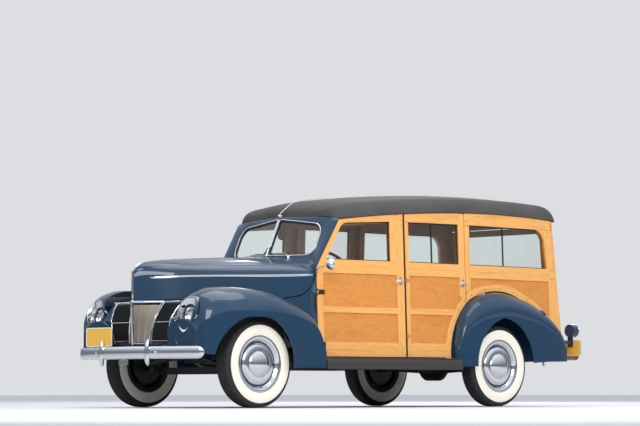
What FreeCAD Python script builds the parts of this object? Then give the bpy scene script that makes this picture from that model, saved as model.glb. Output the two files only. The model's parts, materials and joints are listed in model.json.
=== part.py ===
# Station wagon with a timber body, modelled at its real size in millimetres.
# Frame: +X forward, +Y to the car's left, +Z up, origin on the ground at the middle of the length.
# Stations along the car are measured from the front or the rear axle.
import FreeCAD
import Part
import math
import os
import Sketcher
from FreeCAD import Vector

os.makedirs("parts", exist_ok=True)
doc = FreeCAD.newDocument("station_wagon")
sheet = doc.addObject("Spreadsheet::Sheet", "sizes")


# Driving dimensions in millimetres, angles in degrees
driving = {
    # the whole car
    "wheelbase": 2845, "front_overhang": 827.5, "rear_overhang": 1210,
    "front_track": 1416, "rear_track": 1480,
    # tyres and wheels
    "tyre_diameter": 716, "tyre_width": 165, "tyre_bead_radius": 203, "tread_width": 118,
    "rim_width": 118, "rim_depth": 30, "rim_lip": 12, "disc_dish": 26, "disc_thickness": 8,
    "cap_radius": 173, "cap_dome_radius": 113, "cap_rise": 34, "cap_step": 14,
    "spindle_radius": 20, "spindle_fit": 0.05, "hub_radius": 42, "hub_length": 78,
    "drum_radius": 152, "drum_depth": 50,
    # front and rear axles
    "kingpin_inset": 108, "kingpin_radius": 11, "kingpin_fit": 0.05,
    "kingpin_boss_radius": 24, "kingpin_boss_height": 76, "knuckle_ear": 16, "knuckle_gap": 0.5,
    "beam_depth": 58, "beam_flange": 44, "beam_web": 16, "beam_drop": 52,
    "backing_plate_radius": 158, "backing_plate_thickness": 6,
    "banjo_radius": 128, "banjo_width": 150, "axle_tube_radius": 38, "axle_tube_end_radius": 46,
    "spring_leaf_width": 57, "spring_stack": 44, "spring_rise": 96, "spring_offset": 112,
    # frame
    "rail_height": 104, "rail_width": 52, "rail_spread": 760, "rail_bottom": 330,
    "rail_kick": 80, "cross_member_width": 90, "cross_member_depth": 22,
    # engine and driveline
    "engine_length": 640, "engine_width": 560, "engine_height": 520, "engine_bottom": 372,
    "engine_ahead_of_cowl": 60, "gearbox_length": 560, "gearbox_radius": 80, "torque_tube_radius": 32,
    "gearbox_height": 430,
    # body wall: width at the sill, bow in plan, lean in section
    "body_half_width": 745, "plan_radius": 17200, "plan_apex_from_rear": 322,
    "tumblehome": 0.036, "wall_thickness": 45, "panel_recess": 8,
    "sill_height": 426, "belt_height": 1135, "window_sill": 1250, "window_top": 1585,
    "mid_rail_low": 800, "mid_rail_high": 850, "bottom_rail_top": 550,
    "door_gap": 8, "door_top_gap": 7, "seal_gap": 24, "post_gap": 6, "glass_thickness": 5,
    "glass_set_in": 18, "seat_fit": 0.3,
    # doors and posts
    "cowl_to_door": 782, "front_door_length": 970, "front_door_slope": 255, "front_stile": 62,
    "front_door_rear_stile": 152, "rear_door_front_stile": 40, "rear_door_rear_stile": 72,
    "rear_post_from_axle": 342, "rear_post_width": 62, "quarter_window_length": 1050,
    "quarter_corner": 120, "body_rear_from_axle": 998, "rear_lean": 0.094,
    "arch_band": 60, "arch_gap": 9,
    # strap hinges: barrel on the hinge line, leaf on the panel
    "hinge_offset": 6, "hinge_radius": 5, "hinge_knuckle": 28, "hinge_leaf": 44, "hinge_plate": 3,
    "hinge_low": 530, "hinge_high": 970, "rear_hinge_low": 610, "rear_hinge_high": 1090,
    "gate_hinge_y": 400, "hood_hinge_y": 110,
    # tail
    "gate_half_width": 590, "gate_bottom": 628, "gate_top": 1178, "gate_thickness": 38,
    "liftgate_top": 1640, "gate_gap": 8,
    # floor and cabin
    "floor_height": 540, "floor_thickness": 22, "cabin_front_from_axle": 480,
    "well_half_width": 598,
    # roof
    "edge_front": 1600, "edge_middle": 1706, "edge_rear": 1697, "roof_thickness": 16,
    "roof_overhang": 12, "roof_corner": 150, "roof_crown_radius": 3300,
    # windscreen and cowl
    "screen_base_from_axle": 784, "screen_base_height": 1286, "screen_rise": 330,
    "screen_rake": 152, "screen_sweep": 70, "screen_half_width": 508, "pillar_width": 62,
    "sheet_metal": 9, "hood_rear_from_axle": 757, "hood_gap": 8,
    # running boards and fenders
    "board_top": 418, "board_bottom": 322, "board_outer": 862, "board_inner": 560, "board_round": 44,
    "fender_wall": 10, "fender_half_width": 875, "rear_fender_half_width": 885,
    # bumpers
    "bumper_height": 104, "bumper_thickness": 16, "bumper_half_width": 785, "bumper_bow": 190,
    "front_bumper_bottom": 396, "rear_bumper_bottom": 420, "guard_spacing": 586, "guard_height": 216,
    "guard_width": 44, "guard_depth": 26, "rear_bumper_bow": 70,
    # lamps and plates
    "lamp_centre_y": 592, "lamp_centre_z": 790, "lamp_radius": 112, "lens_radius": 88,
    "plate_length": 340, "plate_height": 160,
    # seats
    "seat_height": 330, "seat_depth": 480, "seat_back_height": 740, "seat_back_thickness": 130,
    "seat_width": 1120, "seat_round": 30,
    "front_seat_from_axle": 1430, "middle_seat_from_rear": 690, "rear_seat_from_rear": -140,
    "steering_wheel_radius": 215, "steering_rim_radius": 13,
}


class Dim:
    """A length with its value and the sheet expression that gives it."""

    def __init__(self, text, value):
        self.text = text
        self.value = float(value)

    def combine(self, other, sign, value):
        other_text = other.text if isinstance(other, Dim) else repr(other)
        return Dim("(" + self.text + " " + sign + " " + other_text + ")", value)

    def __add__(self, other):
        return self.combine(other, "+", self.value + float(other))

    def __sub__(self, other):
        return self.combine(other, "-", self.value - float(other))

    def __mul__(self, other):
        return self.combine(other, "*", self.value * float(other))

    def __truediv__(self, other):
        return self.combine(other, "/", self.value / float(other))

    def __radd__(self, other):
        return Dim(repr(other), other) + self

    def __rsub__(self, other):
        return Dim(repr(other), other) - self

    def __rmul__(self, other):
        return self * other

    def __neg__(self):
        return self * -1

    def __float__(self):
        return self.value


size = {}
for row, (name, number) in enumerate(driving.items(), start=1):
    sheet.set("A%d" % row, name)
    sheet.set("B%d" % row, str(number))
    sheet.setAlias("B%d" % row, name)
    size[name] = Dim("sizes." + name, number)
doc.recompute()


def mm(name):
    """The plain number of a size, for shapes that are worked out in code."""
    return size[name].value


front_axle = size["wheelbase"] / 2
rear_axle = -(size["wheelbase"] / 2)
middle_shift = (size["rear_overhang"] - size["front_overhang"]) / 2
axle_height = size["tyre_diameter"] / 2
nodes = []


def ahead(distance):
    """Station measured forward of the front axle."""
    return float(front_axle) + distance


def behind(distance):
    """Station measured forward of the rear axle."""
    return float(rear_axle) + distance


def bind(item, prop, dim):
    item.setExpression(prop, dim.text if isinstance(dim, Dim) else repr(float(dim)))


def seat(item, label, x=0.0, y=0.0, z=0.0):
    """Label a sub-part and place it, with the whole car's origin at the middle of its length."""
    item.Label = label
    bind(item, "Placement.Base.x", middle_shift + x if isinstance(x, Dim) else middle_shift + float(x))
    bind(item, "Placement.Base.y", y)
    bind(item, "Placement.Base.z", z)
    nodes.append(item)
    return item


def keep(label, shape):
    """A sub-part whose shape is worked out in code."""
    item = doc.addObject("Part::Feature", label)
    item.Shape = shape
    return seat(item, label)


# Sketch helpers
def new_body(label):
    return doc.addObject("PartDesign::Body", label)


def origin_plane(body, role):
    return [item for item in body.Origin.OriginFeatures if item.Role == role][0]


def polygon(body, name, role, corners):
    """A closed sketch whose corners are tied to the sheet."""
    sketch = body.newObject("Sketcher::SketchObject", name)
    sketch.AttachmentSupport = (origin_plane(body, role), [""])
    sketch.MapMode = "FlatFace"
    count = len(corners)
    for index in range(count):
        (u1, v1), (u2, v2) = corners[index], corners[(index + 1) % count]
        start = Vector(float(u1), float(v1), 0)
        end = Vector(float(u2), float(v2), 0)
        sketch.addGeometry(Part.LineSegment(start, end), False)
    for index in range(count):
        sketch.addConstraint(Sketcher.Constraint("Coincident", index, 2, (index + 1) % count, 1))
    for index, (u, v) in enumerate(corners):
        for kind, number in (("DistanceX", u), ("DistanceY", v)):
            place = sketch.addConstraint(Sketcher.Constraint(kind, -1, 1, index, 1, float(number)))
            if isinstance(number, Dim):
                sketch.setExpression("Constraints[%d]" % place, number.text)
    return sketch


def revolve(body, name, sketch):
    """A full turn about the body's Y axis."""
    turn = body.newObject("PartDesign::Revolution", name)
    turn.Profile = sketch
    turn.ReferenceAxis = (sketch, ["V_Axis"])
    turn.Angle = 360.0
    return turn


def pad(body, name, sketch, length, midplane=False, reverse=False):
    lift = body.newObject("PartDesign::Pad", name)
    lift.Profile = sketch
    bind(lift, "Length", length)
    lift.Midplane = midplane
    lift.Reversed = reverse
    return lift


def round_edges(body, name, base, radius, wanted):
    """Fillet the edges whose middle passes the test."""
    doc.recompute()
    names = []
    for index, edge in enumerate(base.Shape.Edges, start=1):
        middle = edge.valueAt((edge.FirstParameter + edge.LastParameter) / 2)
        if wanted(edge, middle):
            names.append("Edge%d" % index)
    fillet = body.newObject("PartDesign::Fillet", name)
    fillet.Base = (base, names)
    bind(fillet, "Radius", radius)
    return fillet


# Shape helpers for the curved panels
def outline(start, *steps):
    """A closed wire in the XZ plane. A step is a point, or a middle and an end point for an arc."""
    here = Vector(start[0], 0, start[1])
    first = here
    edges = []
    for step in steps:
        if isinstance(step[0], tuple):
            through = Vector(step[0][0], 0, step[0][1])
            end = Vector(step[1][0], 0, step[1][1])
            edges.append(Part.Arc(here, through, end).toShape())
        else:
            end = Vector(step[0], 0, step[1])
            edges.append(Part.makeLine(here, end))
        here = end
    edges.append(Part.makeLine(here, first))
    return Part.Wire(edges)


def prism(wire, low=-1200.0, high=1200.0):
    """The XZ outline pushed from low to high along Y."""
    moved = wire.copy()
    moved.translate(Vector(0, low, 0))
    return Part.Face(moved).extrude(Vector(0, high - low, 0))


def mirrored(shape):
    return shape.mirror(Vector(0, 0, 0), Vector(0, 1, 0))


def both_sides(label, shape):
    """The left piece and its mirror image, as two sub-parts."""
    keep(label + "_left", shape)
    keep(label + "_right", mirrored(shape))


def box(x1, x2, y1, y2, z1, z2):
    low = Vector(min(x1, x2), min(y1, y2), min(z1, z2))
    return Part.makeBox(abs(x2 - x1), abs(y2 - y1), abs(z2 - z1), low)


def joined(shapes):
    whole = shapes[0].multiFuse(shapes[1:])
    return whole.removeSplitter()


def slopes(stations, values):
    """Slopes of a curve that never overshoots its points."""
    steps = [(v2 - v1) / (s2 - s1) for s1, s2, v1, v2 in zip(stations, stations[1:], values, values[1:])]
    inner = [0.0 if a * b <= 0 else 2 * a * b / (a + b) for a, b in zip(steps, steps[1:])]
    return [steps[0]] + inner + [steps[-1]]


def spread(table, count, crowding):
    """Rows of a table at smoothly spaced stations, closer together towards both ends."""
    stations = [row[0] for row in table]
    columns = list(zip(*table))
    curves = [slopes(stations, column) for column in columns]
    rows = []
    for index in range(count):
        share = index / (count - 1)
        share -= crowding * math.sin(2 * math.pi * share) / (2 * math.pi)
        place = stations[0] + share * (stations[-1] - stations[0])
        span = max(i for i in range(len(stations) - 1) if (place - stations[i]) * (stations[-1] - stations[0]) >= 0
                   or i == 0)
        length = stations[span + 1] - stations[span]
        t = (place - stations[span]) / length
        row = []
        for column, curve in zip(columns, curves):
            row.append(
                (2 * t ** 3 - 3 * t ** 2 + 1) * column[span] + (t ** 3 - 2 * t ** 2 + t) * length * curve[span]
                + (3 * t ** 2 - 2 * t ** 3) * column[span + 1] + (t ** 3 - t ** 2) * length * curve[span + 1])
        rows.append(row)
    return rows


# Body wall: each face is part of a cone about an upright axis far inside the car
plan_apex = behind(mm("plan_apex_from_rear"))
plan_centre = mm("body_half_width") - mm("plan_radius")


def skin_at_apex(height):
    return mm("body_half_width") - mm("tumblehome") * (height - mm("sill_height"))


def skin(x, height):
    """Half width of the outer face at a station and height."""
    radius = skin_at_apex(height) - plan_centre
    return plan_centre + math.sqrt(radius ** 2 - (x - plan_apex) ** 2)


def wall(outer, inner, low=200.0, high=1950.0):
    """The left wall between two depths from the outer face."""
    corners = [
        Vector(plan_apex, skin_at_apex(low) - outer, low),
        Vector(plan_apex, skin_at_apex(high) - outer, high),
        Vector(plan_apex, skin_at_apex(high) - inner, high),
        Vector(plan_apex, skin_at_apex(low) - inner, low),
    ]
    face = Part.Face(Part.makePolygon(corners + corners[:1]))
    centre = Vector(plan_apex, plan_centre, 0)
    half_turn = 9.0
    face.rotate(centre, Vector(0, 0, 1), -half_turn)
    return face.revolve(centre, Vector(0, 0, 1), 2 * half_turn)


def hinge_frame(x, height):
    """Point on the left skin, with unit vectors forward along it, outward and up along it."""
    here = Vector(x, skin(x, height), height)
    forward = Vector(2.0, skin(x + 1.0, height) - skin(x - 1.0, height), 0)
    upward = Vector(0, skin(x, height + 1.0) - skin(x, height - 1.0), 2.0)
    forward.normalize()
    upward.normalize()
    return here, forward, upward.cross(forward), upward


def local_box(frame_at, x1, x2, y1, y2, z1, z2):
    """A box in a hinge's own frame."""
    here, forward, outward, upward = frame_at
    matrix = FreeCAD.Matrix(
        forward.x, outward.x, upward.x, here.x, forward.y, outward.y, upward.y, here.y,
        forward.z, outward.z, upward.z, here.z, 0, 0, 0, 1)
    block = box(x1, x2, y1, y2, z1, z2)
    block.transformShape(matrix)
    return block


def barrel(frame_at, z1, z2):
    here, forward, outward, upward = frame_at
    start = here + outward * mm("hinge_offset") + upward * z1
    return Part.makeCylinder(mm("hinge_radius"), z2 - z1, start, upward)


def moving_leaf(frame_at, side):
    """Knuckle and strap on the panel that swings. The strap lies toward side, -1 behind or 1 ahead."""
    half = mm("hinge_knuckle") / 2
    leaf = mm("hinge_leaf")
    plate = mm("hinge_plate")
    strap = local_box(frame_at, side * 1.0, side * leaf, -2.0, plate, -half, half)
    root = local_box(frame_at, 0.0, side * 8.0, 0.5, mm("hinge_offset"), -half, half)
    return [barrel(frame_at, -half, half), root, strap]


def fixed_leaf(frame_at, side, depth):
    """Two knuckles and a strap on the body, let in to a depth below the skin."""
    half = mm("hinge_knuckle") / 2 + mm("seat_fit")
    tall = half + mm("hinge_knuckle") / 2
    pieces = []
    for low, high in ((half, tall), (-tall, -half)):
        pieces.append(barrel(frame_at, low, high))
        pieces.append(local_box(frame_at, 0.0, side * 9.0, 0.5, mm("hinge_offset"), low, high))
    strap = local_box(frame_at, side * 6.5, side * mm("hinge_leaf"), -depth, mm("hinge_plate"), -tall, tall)
    return pieces + [strap]


def post_leaf(frame_at, side, depth):
    """Two knuckles and a plate that reaches back to a post behind the gap."""
    half = mm("hinge_knuckle") / 2 + mm("seat_fit")
    tall = half + mm("hinge_knuckle") / 2
    pieces = [local_box(frame_at, side * 4.0, side * 8.0, -depth, 0.4, -tall, tall)]
    for low, high in ((half, tall), (-tall, -half)):
        pieces.append(barrel(frame_at, low, high))
        pieces.append(local_box(frame_at, side * 0.5, side * 8.0, 0.0, mm("hinge_offset"), low, high))
    return pieces


# Roof edge: one long arc above the doors
edge_front_x = ahead(-1047.0)
edge_middle_x = behind(522.0)
edge_rear_x = behind(-878.0)


def circle_through(p, q, r):
    """Centre and radius of the circle through three points."""
    ax, az = q[0] - p[0], q[1] - p[1]
    bx, bz = r[0] - p[0], r[1] - p[1]
    d = 2 * (ax * bz - az * bx)
    cx = (bz * (ax ** 2 + az ** 2) - az * (bx ** 2 + bz ** 2)) / d
    cz = (ax * (bx ** 2 + bz ** 2) - bx * (ax ** 2 + az ** 2)) / d
    return p[0] + cx, p[1] + cz, math.hypot(cx, cz)


edge_circle = circle_through(
    (edge_front_x, mm("edge_front")), (edge_middle_x, mm("edge_middle")), (edge_rear_x, mm("edge_rear")))


def edge_height(x):
    """Height of the roof's lower edge at a station."""
    centre_x, centre_z, radius = edge_circle
    return centre_z + math.sqrt(radius ** 2 - (x - centre_x) ** 2)


def top_arc(x1, x2, drop):
    """Arc step that follows the roof edge from x1 to x2, a little below it."""
    middle = (x1 + x2) / 2
    return ((middle, edge_height(middle) - drop), (x2, edge_height(x2) - drop))


# Rear wheel arch in the timber, as it meets the fender: x from the rear axle, z
arch_start = (538.0, 400.0)
arch_table = [
    # through x, z, end x, z
    (478.0, 722.0, 288.0, 938.0),
    (-30.0, 1019.0, -424.0, 937.0),
    (-732.0, 766.0, -894.0, 575.0),
]


def arch_outline(growth):
    """The arch grown outward, closed below the body."""
    points = [(behind(arch_start[0] + growth), arch_start[1])]
    steps = []
    here = (behind(arch_start[0] + growth), arch_start[1])
    centre = (behind(-140.0), 300.0)

    def pushed(x, z):
        dx, dz = behind(x) - centre[0], z - centre[1]
        reach = math.hypot(dx, dz)
        return (centre[0] + dx * (1 + growth / reach), centre[1] + dz * (1 + growth / reach))

    for mx, mz, ex, ez in arch_table:
        steps.append((pushed(mx, mz), pushed(ex, ez)))
    last = steps[-1][1]
    steps.append((last[0], 200.0))
    steps.append((here[0], 200.0))
    return outline(points[0], *steps)


# Stations of the timber body
door_front = ahead(-mm("cowl_to_door"))
door_split = door_front - mm("front_door_length")
rear_door_front = door_split - mm("seal_gap")
rear_door_rear = behind(mm("rear_post_from_axle"))
quarter_front = rear_door_rear - mm("door_gap")
body_rear = behind(-mm("body_rear_from_axle"))


def rear_face(height):
    """Station of the tail's outer face, which leans forward with height."""
    return body_rear + mm("rear_lean") * (height - mm("sill_height"))


def panel(edge, windows, recesses):
    """A timber frame with its windows cut and its panels set back."""
    piece = wall(0, mm("wall_thickness")).common(prism(edge))
    for window in windows:
        piece = piece.cut(prism(window))
    for recess in recesses:
        piece = piece.cut(wall(-20, mm("panel_recess")).common(recess))
    return piece


def pane(window):
    """Glass in a window, with a little air all round."""
    inset = window.makeOffset2D(-mm("seat_fit"))
    depth = mm("glass_set_in")
    return wall(depth, depth + mm("glass_thickness")).common(prism(inset))


def rounded_box(x1, x2, z1, z2):
    return outline((x1, z1), (x2, z1), (x2, z2), (x1, z2))


# Front door
slope_top = door_front - mm("front_door_slope")
top_gap = mm("door_top_gap")
front_door_edge = outline(
    (door_front, mm("sill_height") + 4), (door_front, 1180.0), (slope_top, edge_height(slope_top) - top_gap),
    top_arc(slope_top, door_split, top_gap), (door_split, mm("sill_height") + 4))
front_window = outline(
    (door_front - mm("front_stile") - 40, mm("window_sill")),
    (slope_top - 30, mm("window_top") - 20),
    (door_split + mm("front_door_rear_stile"), mm("window_top") + 10),
    (door_split + mm("front_door_rear_stile"), mm("window_sill")))
front_recesses = [
    prism(rounded_box(door_split + 84, door_front - mm("front_stile"), mm("bottom_rail_top"), mm("mid_rail_low"))),
    prism(rounded_box(door_split + 84, door_front - mm("front_stile"), mm("mid_rail_high"), mm("belt_height"))),
]
front_hinges = [hinge_frame(door_front, mm("hinge_low")), hinge_frame(door_front, mm("hinge_high"))]
front_door = [panel(front_door_edge, [front_window], front_recesses)]
for place in front_hinges:
    front_door += moving_leaf(place, -1)
both_sides("front_door", joined(front_door))
both_sides("front_door_glass", pane(front_window))

# Rear door, cut away round the fender
rear_door_edge = outline(
    (rear_door_front, mm("sill_height") + 4), (rear_door_front, edge_height(rear_door_front) - top_gap),
    top_arc(rear_door_front, rear_door_rear, top_gap), (rear_door_rear, mm("sill_height") + 4))
rear_window = outline(
    (rear_door_front - mm("rear_door_front_stile"), mm("window_sill")),
    (rear_door_front - mm("rear_door_front_stile"), mm("window_top") + 15),
    (rear_door_rear + mm("rear_door_rear_stile"), mm("window_top") + 20),
    (rear_door_rear + mm("rear_door_rear_stile"), mm("window_sill")))
band = prism(arch_outline(mm("arch_gap") + mm("arch_band")))
door_recess_front = rear_door_front - mm("rear_door_front_stile")
door_recess_rear = rear_door_rear + mm("rear_door_rear_stile")
rear_recesses = [
    prism(rounded_box(door_recess_rear, door_recess_front, mm("bottom_rail_top"), mm("mid_rail_low"))).cut(band),
    prism(rounded_box(door_recess_rear, door_recess_front, mm("mid_rail_high"), mm("belt_height"))).cut(band),
]
rear_door = panel(rear_door_edge, [rear_window], rear_recesses)
rear_door = rear_door.cut(prism(arch_outline(mm("arch_gap"))))
rear_hinges = [hinge_frame(rear_door_front, mm("rear_hinge_low")),
               hinge_frame(rear_door_front, mm("rear_hinge_high"))]
rear_door = [rear_door]
for place in rear_hinges:
    rear_door += moving_leaf(place, -1)
both_sides("rear_door", joined(rear_door))
both_sides("rear_door_glass", pane(rear_window))

# Quarter: rear post, panel, window and corner post, with the rail above the doors and the hidden centre post
quarter_edge = outline(
    (quarter_front, mm("sill_height")), (quarter_front, edge_height(quarter_front) - 0.6),
    top_arc(quarter_front, rear_face(1690.0), 0.6), (rear_face(mm("sill_height")), mm("sill_height")))
window_front = quarter_front - mm("rear_post_width")
window_rear = window_front - mm("quarter_window_length")
corner = mm("quarter_corner")
quarter_top = mm("window_top") + 20
quarter_window = outline(
    (window_front, mm("window_sill")), (window_front, quarter_top), (window_rear + corner + 30, quarter_top),
    ((window_rear + 62, quarter_top - 45), (window_rear + 24, quarter_top - corner)),
    (window_rear, mm("window_sill")))
quarter_recess = prism(rounded_box(window_rear - 30, window_front - 10, 640.0, mm("belt_height"))).cut(band)
quarter = panel(quarter_edge, [quarter_window], [quarter_recess])
quarter = quarter.cut(prism(arch_outline(6.0)))
inner = mm("wall_thickness") + mm("post_gap")
rail_front = slope_top - 20
rail_edge = outline(
    (rail_front, edge_height(rail_front) - 0.6), top_arc(rail_front, quarter_front - 60, 0.6),
    (quarter_front - 60, edge_height(quarter_front - 60) - 60), (rail_front, edge_height(rail_front) - 60))
cant_rail = wall(inner, inner + 40).common(prism(rail_edge))
centre_post_edge = rounded_box(rear_door_front - 34, door_split + 40, mm("floor_height"), edge_height(door_split) - 40)
centre_post = wall(inner, inner + 40).common(prism(centre_post_edge))
tie_edge = rounded_box(quarter_front - 60, quarter_front, mm("floor_height") + 500, edge_height(quarter_front) - 1.5)
tie = wall(mm("wall_thickness") - 2, inner + 40).common(prism(tie_edge))
side = [quarter, tie, cant_rail, centre_post]
for place in rear_hinges:
    side += post_leaf(place, 1, inner + 2)
side = joined(side)
both_sides("side", side)
fixed_panes = [pane(quarter_window), mirrored(pane(quarter_window))]

# Front form: hood and cowl sides come from one lofted shell
front_form = [
    # x from the front axle, base half width, shoulder half width, shoulder z, top z
    (-862.0, 668.0, 640.0, 1120.0, 1290.0),
    (-757.0, 655.0, 625.0, 1120.0, 1284.0),
    (-172.0, 530.0, 470.0, 1095.0, 1258.0),
    (228.0, 420.0, 350.0, 1085.0, 1233.0),
    (478.0, 285.0, 215.0, 1080.0, 1212.0),
    (598.0, 145.0, 110.0, 1075.0, 1187.0),
    (662.0, 66.0, 50.0, 1065.0, 1160.0),
    (696.0, 26.0, 20.0, 1040.0, 1126.0),
]
form_base = 500.0


def crowned(x, base_w, side_w, side_z, top_z, base_z):
    """Upright section: sides, and a crown arc that rises from shoulder to shoulder."""
    blend_w = side_w * 0.72
    blend_z = side_z + (top_z - side_z) * 0.62
    points = {
        "left_base": Vector(x, base_w, base_z), "left_side": Vector(x, side_w, side_z),
        "left_mid": Vector(x, side_w * 0.93, side_z + (top_z - side_z) * 0.33),
        "left_blend": Vector(x, blend_w, blend_z), "top": Vector(x, 0, top_z),
        "right_blend": Vector(x, -blend_w, blend_z),
        "right_mid": Vector(x, -side_w * 0.93, side_z + (top_z - side_z) * 0.33),
        "right_side": Vector(x, -side_w, side_z), "right_base": Vector(x, -base_w, base_z),
    }
    edges = [
        Part.makeLine(points["left_base"], points["left_side"]),
        Part.Arc(points["left_side"], points["left_mid"], points["left_blend"]).toShape(),
        Part.Arc(points["left_blend"], points["top"], points["right_blend"]).toShape(),
        Part.Arc(points["right_blend"], points["right_mid"], points["right_side"]).toShape(),
        Part.makeLine(points["right_side"], points["right_base"]),
        Part.makeLine(points["right_base"], points["left_base"]),
    ]
    return Part.Wire(edges)


def front_solid(depth):
    """The front form, set in from its skin by a depth. Set in, it runs out at the base and the rear."""
    sections = []
    rows = spread(front_form, 12, 0.55)
    for index, (x, base_w, side_w, side_z, top_z) in enumerate(rows):
        station = ahead(x)
        if index == 0:
            station -= 2 * depth
        if index == len(rows) - 1:
            station -= depth
        sections.append(crowned(
            station, max(base_w - depth, 6.0), max(side_w - depth, 4.0),
            side_z - depth * 0.5, top_z - depth, form_base - 4 * depth))
    return Part.makeLoft(sections, True, False)


form_shell = front_solid(0.0).cut(front_solid(mm("sheet_metal")))
hood_rear = ahead(-mm("hood_rear_from_axle"))
hood_side_line = outline(
    (hood_rear, 1104.0), ((ahead(-690.0), 985.0), (ahead(-590.0), 935.0)), (ahead(-450.0), 911.0),
    (ahead(538.0), 885.0), (ahead(760.0), 862.0), (ahead(760.0), 1400.0), (hood_rear, 1400.0))
hood = form_shell.common(prism(hood_side_line))
hood_seam_height = 1280.3
hood_seam_slope = -0.05


def hood_frame(y):
    """Hinge frame on the hood's rear seam: forward runs along the car and up runs across it."""
    forward = Vector(1, 0, hood_seam_slope)
    forward.normalize()
    across = Vector(0, -1, 0)
    return Vector(hood_rear - mm("hood_gap") / 2, y, hood_seam_height), forward, across.cross(forward), across


hood_hinges = [hood_frame(mm("hood_hinge_y")), hood_frame(-mm("hood_hinge_y"))]
hood_parts = [hood]
for place in hood_hinges:
    hood_parts += moving_leaf(place, 1)
keep("hood", joined(hood_parts))

# Cowl: short roof of the scuttle, its sides down to the sill, pillars and windscreen header
cowl_line = outline(
    (hood_rear - mm("hood_gap"), 1400.0), (hood_rear - mm("hood_gap"), 1104.0),
    ((ahead(-698.0), 978.0), (ahead(-594.0), 927.0)), (ahead(-450.0), 903.0), (ahead(-450.0), form_base),
    (ahead(-861.0), form_base), (ahead(-861.0), 1400.0))
cowl_skin = form_shell.common(prism(cowl_line))
door_clear = prism(outline(
    (door_front + mm("door_gap"), 300.0), (door_front + mm("door_gap"), 1180.0),
    (slope_top + mm("door_gap"), 1640.0), (slope_top - 900, 1640.0), (slope_top - 900, 300.0)))
cowl_skin = cowl_skin.cut(door_clear)
screen_base = ahead(-mm("screen_base_from_axle"))
pillar_front = hood_rear - mm("hood_gap")
pillar_top = 1670.0
pillar_edge = outline(
    (door_front + mm("door_gap"), 1100.0), (door_front + mm("door_gap"), 1182.0),
    (slope_top + mm("door_gap"), edge_height(slope_top)), (slope_top + mm("door_gap") - 40, pillar_top),
    (slope_top + mm("pillar_width"), pillar_top), (pillar_front, 1182.0), (pillar_front, 1100.0))
pillar = wall(0, 60).common(prism(pillar_edge))

# Roof
roof_front = ahead(-947.0)
roof_rear = behind(-990.0)
roof_table = [
    # x back from the roof's front, share of the full half width, crown height above the edge
    (0.0, 0.42, 24.0),
    (35.0, 0.74, 78.0),
    (110.0, 0.96, 140.0),
    (260.0, 1.0, 166.0),
    (900.0, 1.0, 176.0),
    (1900.0, 1.0, 184.0),
    (roof_front - roof_rear - 190.0, 1.0, 182.0),
    (roof_front - roof_rear - 70.0, 0.97, 160.0),
    (roof_front - roof_rear, 0.9, 96.0),
]


def roof_section(x, half, rise, depth):
    low = edge_height(x)
    top = low + rise - depth
    half = half - depth
    inset = min(mm("roof_corner"), half * 0.5)
    crown_radius = mm("roof_crown_radius")
    drop = crown_radius - math.sqrt(crown_radius ** 2 - (half - inset) ** 2)
    drop = min(drop, rise * 0.45)
    blend = Vector(x, half - inset, top - drop)
    foot = Vector(x, half, low)
    mid = Vector(x, half - inset * 0.2, low + (blend.z - low) * 0.62)
    rim = Vector(x, half, low - 3 * depth)

    def opposite(point):
        return Vector(point.x, -point.y, point.z)

    edges = [Part.makeLine(rim, foot)] if depth else []
    edges += [
        Part.Arc(foot, mid, blend).toShape(),
        Part.Arc(blend, Vector(x, 0, top), opposite(blend)).toShape(),
        Part.Arc(opposite(blend), opposite(mid), opposite(foot)).toShape(),
    ]
    if depth:
        edges.append(Part.makeLine(opposite(foot), opposite(rim)))
    edges.append(Part.makeLine(opposite(rim), rim))
    return Part.Wire(edges)


def roof_solid(depth):
    sections = []
    rows = spread(roof_table, 16, 0.72)
    for index, (back, share, rise) in enumerate(rows):
        x = roof_front - back
        half = share * (skin(x, edge_height(x)) + mm("roof_overhang"))
        if index == 0:
            x -= depth
        if index == len(rows) - 1:
            x += depth
        sections.append(roof_section(x, half, rise, depth))
    return Part.makeLoft(sections, True, False)


header_slope = 0.51


def header_line(x):
    """Height of the roof's front edge above the windscreen, which climbs forward."""
    return mm("edge_front") + header_slope * (x - edge_front_x)


def under_header(drop):
    """Everything below the roof's front edge and ahead of the doors' top corner."""
    low, high = edge_front_x - 1.0, edge_front_x + 300.0
    return prism(outline((low, header_line(low) - drop), (high, header_line(high) - drop), (high, 1000.0),
                         (low, 1000.0)))


roof = roof_solid(0.0).cut(roof_solid(mm("roof_thickness")))
keep("roof", roof.cut(under_header(0.0)))

# Fenders: a lofted form, hollowed from below and cut for the wheel
front_fender_table = [
    # x from the front axle, inner y, inner z, crown y, crown z, outer y, outer z, low z
    (-690.0, 668.0, 430.0, 740.0, 455.0, 850.0, 400.0, 330.0),
    (-668.0, 664.0, 560.0, 735.0, 580.0, 856.0, 500.0, 330.0),
    (-620.0, 650.0, 690.0, 725.0, 706.0, 860.0, 600.0, 330.0),
    (-530.0, 612.0, 785.0, 715.0, 803.0, 862.0, 690.0, 330.0),
    (-340.0, 566.0, 862.0, 690.0, 893.0, 866.0, 750.0, 330.0),
    (-60.0, 483.0, 868.0, 665.0, 966.0, 872.0, 785.0, 350.0),
    (150.0, 410.0, 868.0, 655.0, 985.0, 875.0, 790.0, 385.0),
    (380.0, 352.0, 872.0, 640.0, 972.0, 862.0, 780.0, 420.0),
    (530.0, 404.0, 836.0, 615.0, 925.0, 815.0, 740.0, 430.0),
    (600.0, 388.0, 742.0, 598.0, 835.0, 765.0, 690.0, 440.0),
    (635.0, 366.0, 640.0, 585.0, 710.0, 715.0, 620.0, 465.0),
]
front_arch = outline(
    (ahead(520.0), 250.0), (ahead(522.0), 390.0), ((ahead(395.0), 640.0), (ahead(90.0), 738.0)),
    ((ahead(-184.0), 652.0), (ahead(-307.0), 335.0)), (ahead(-311.0), 250.0))


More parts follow.
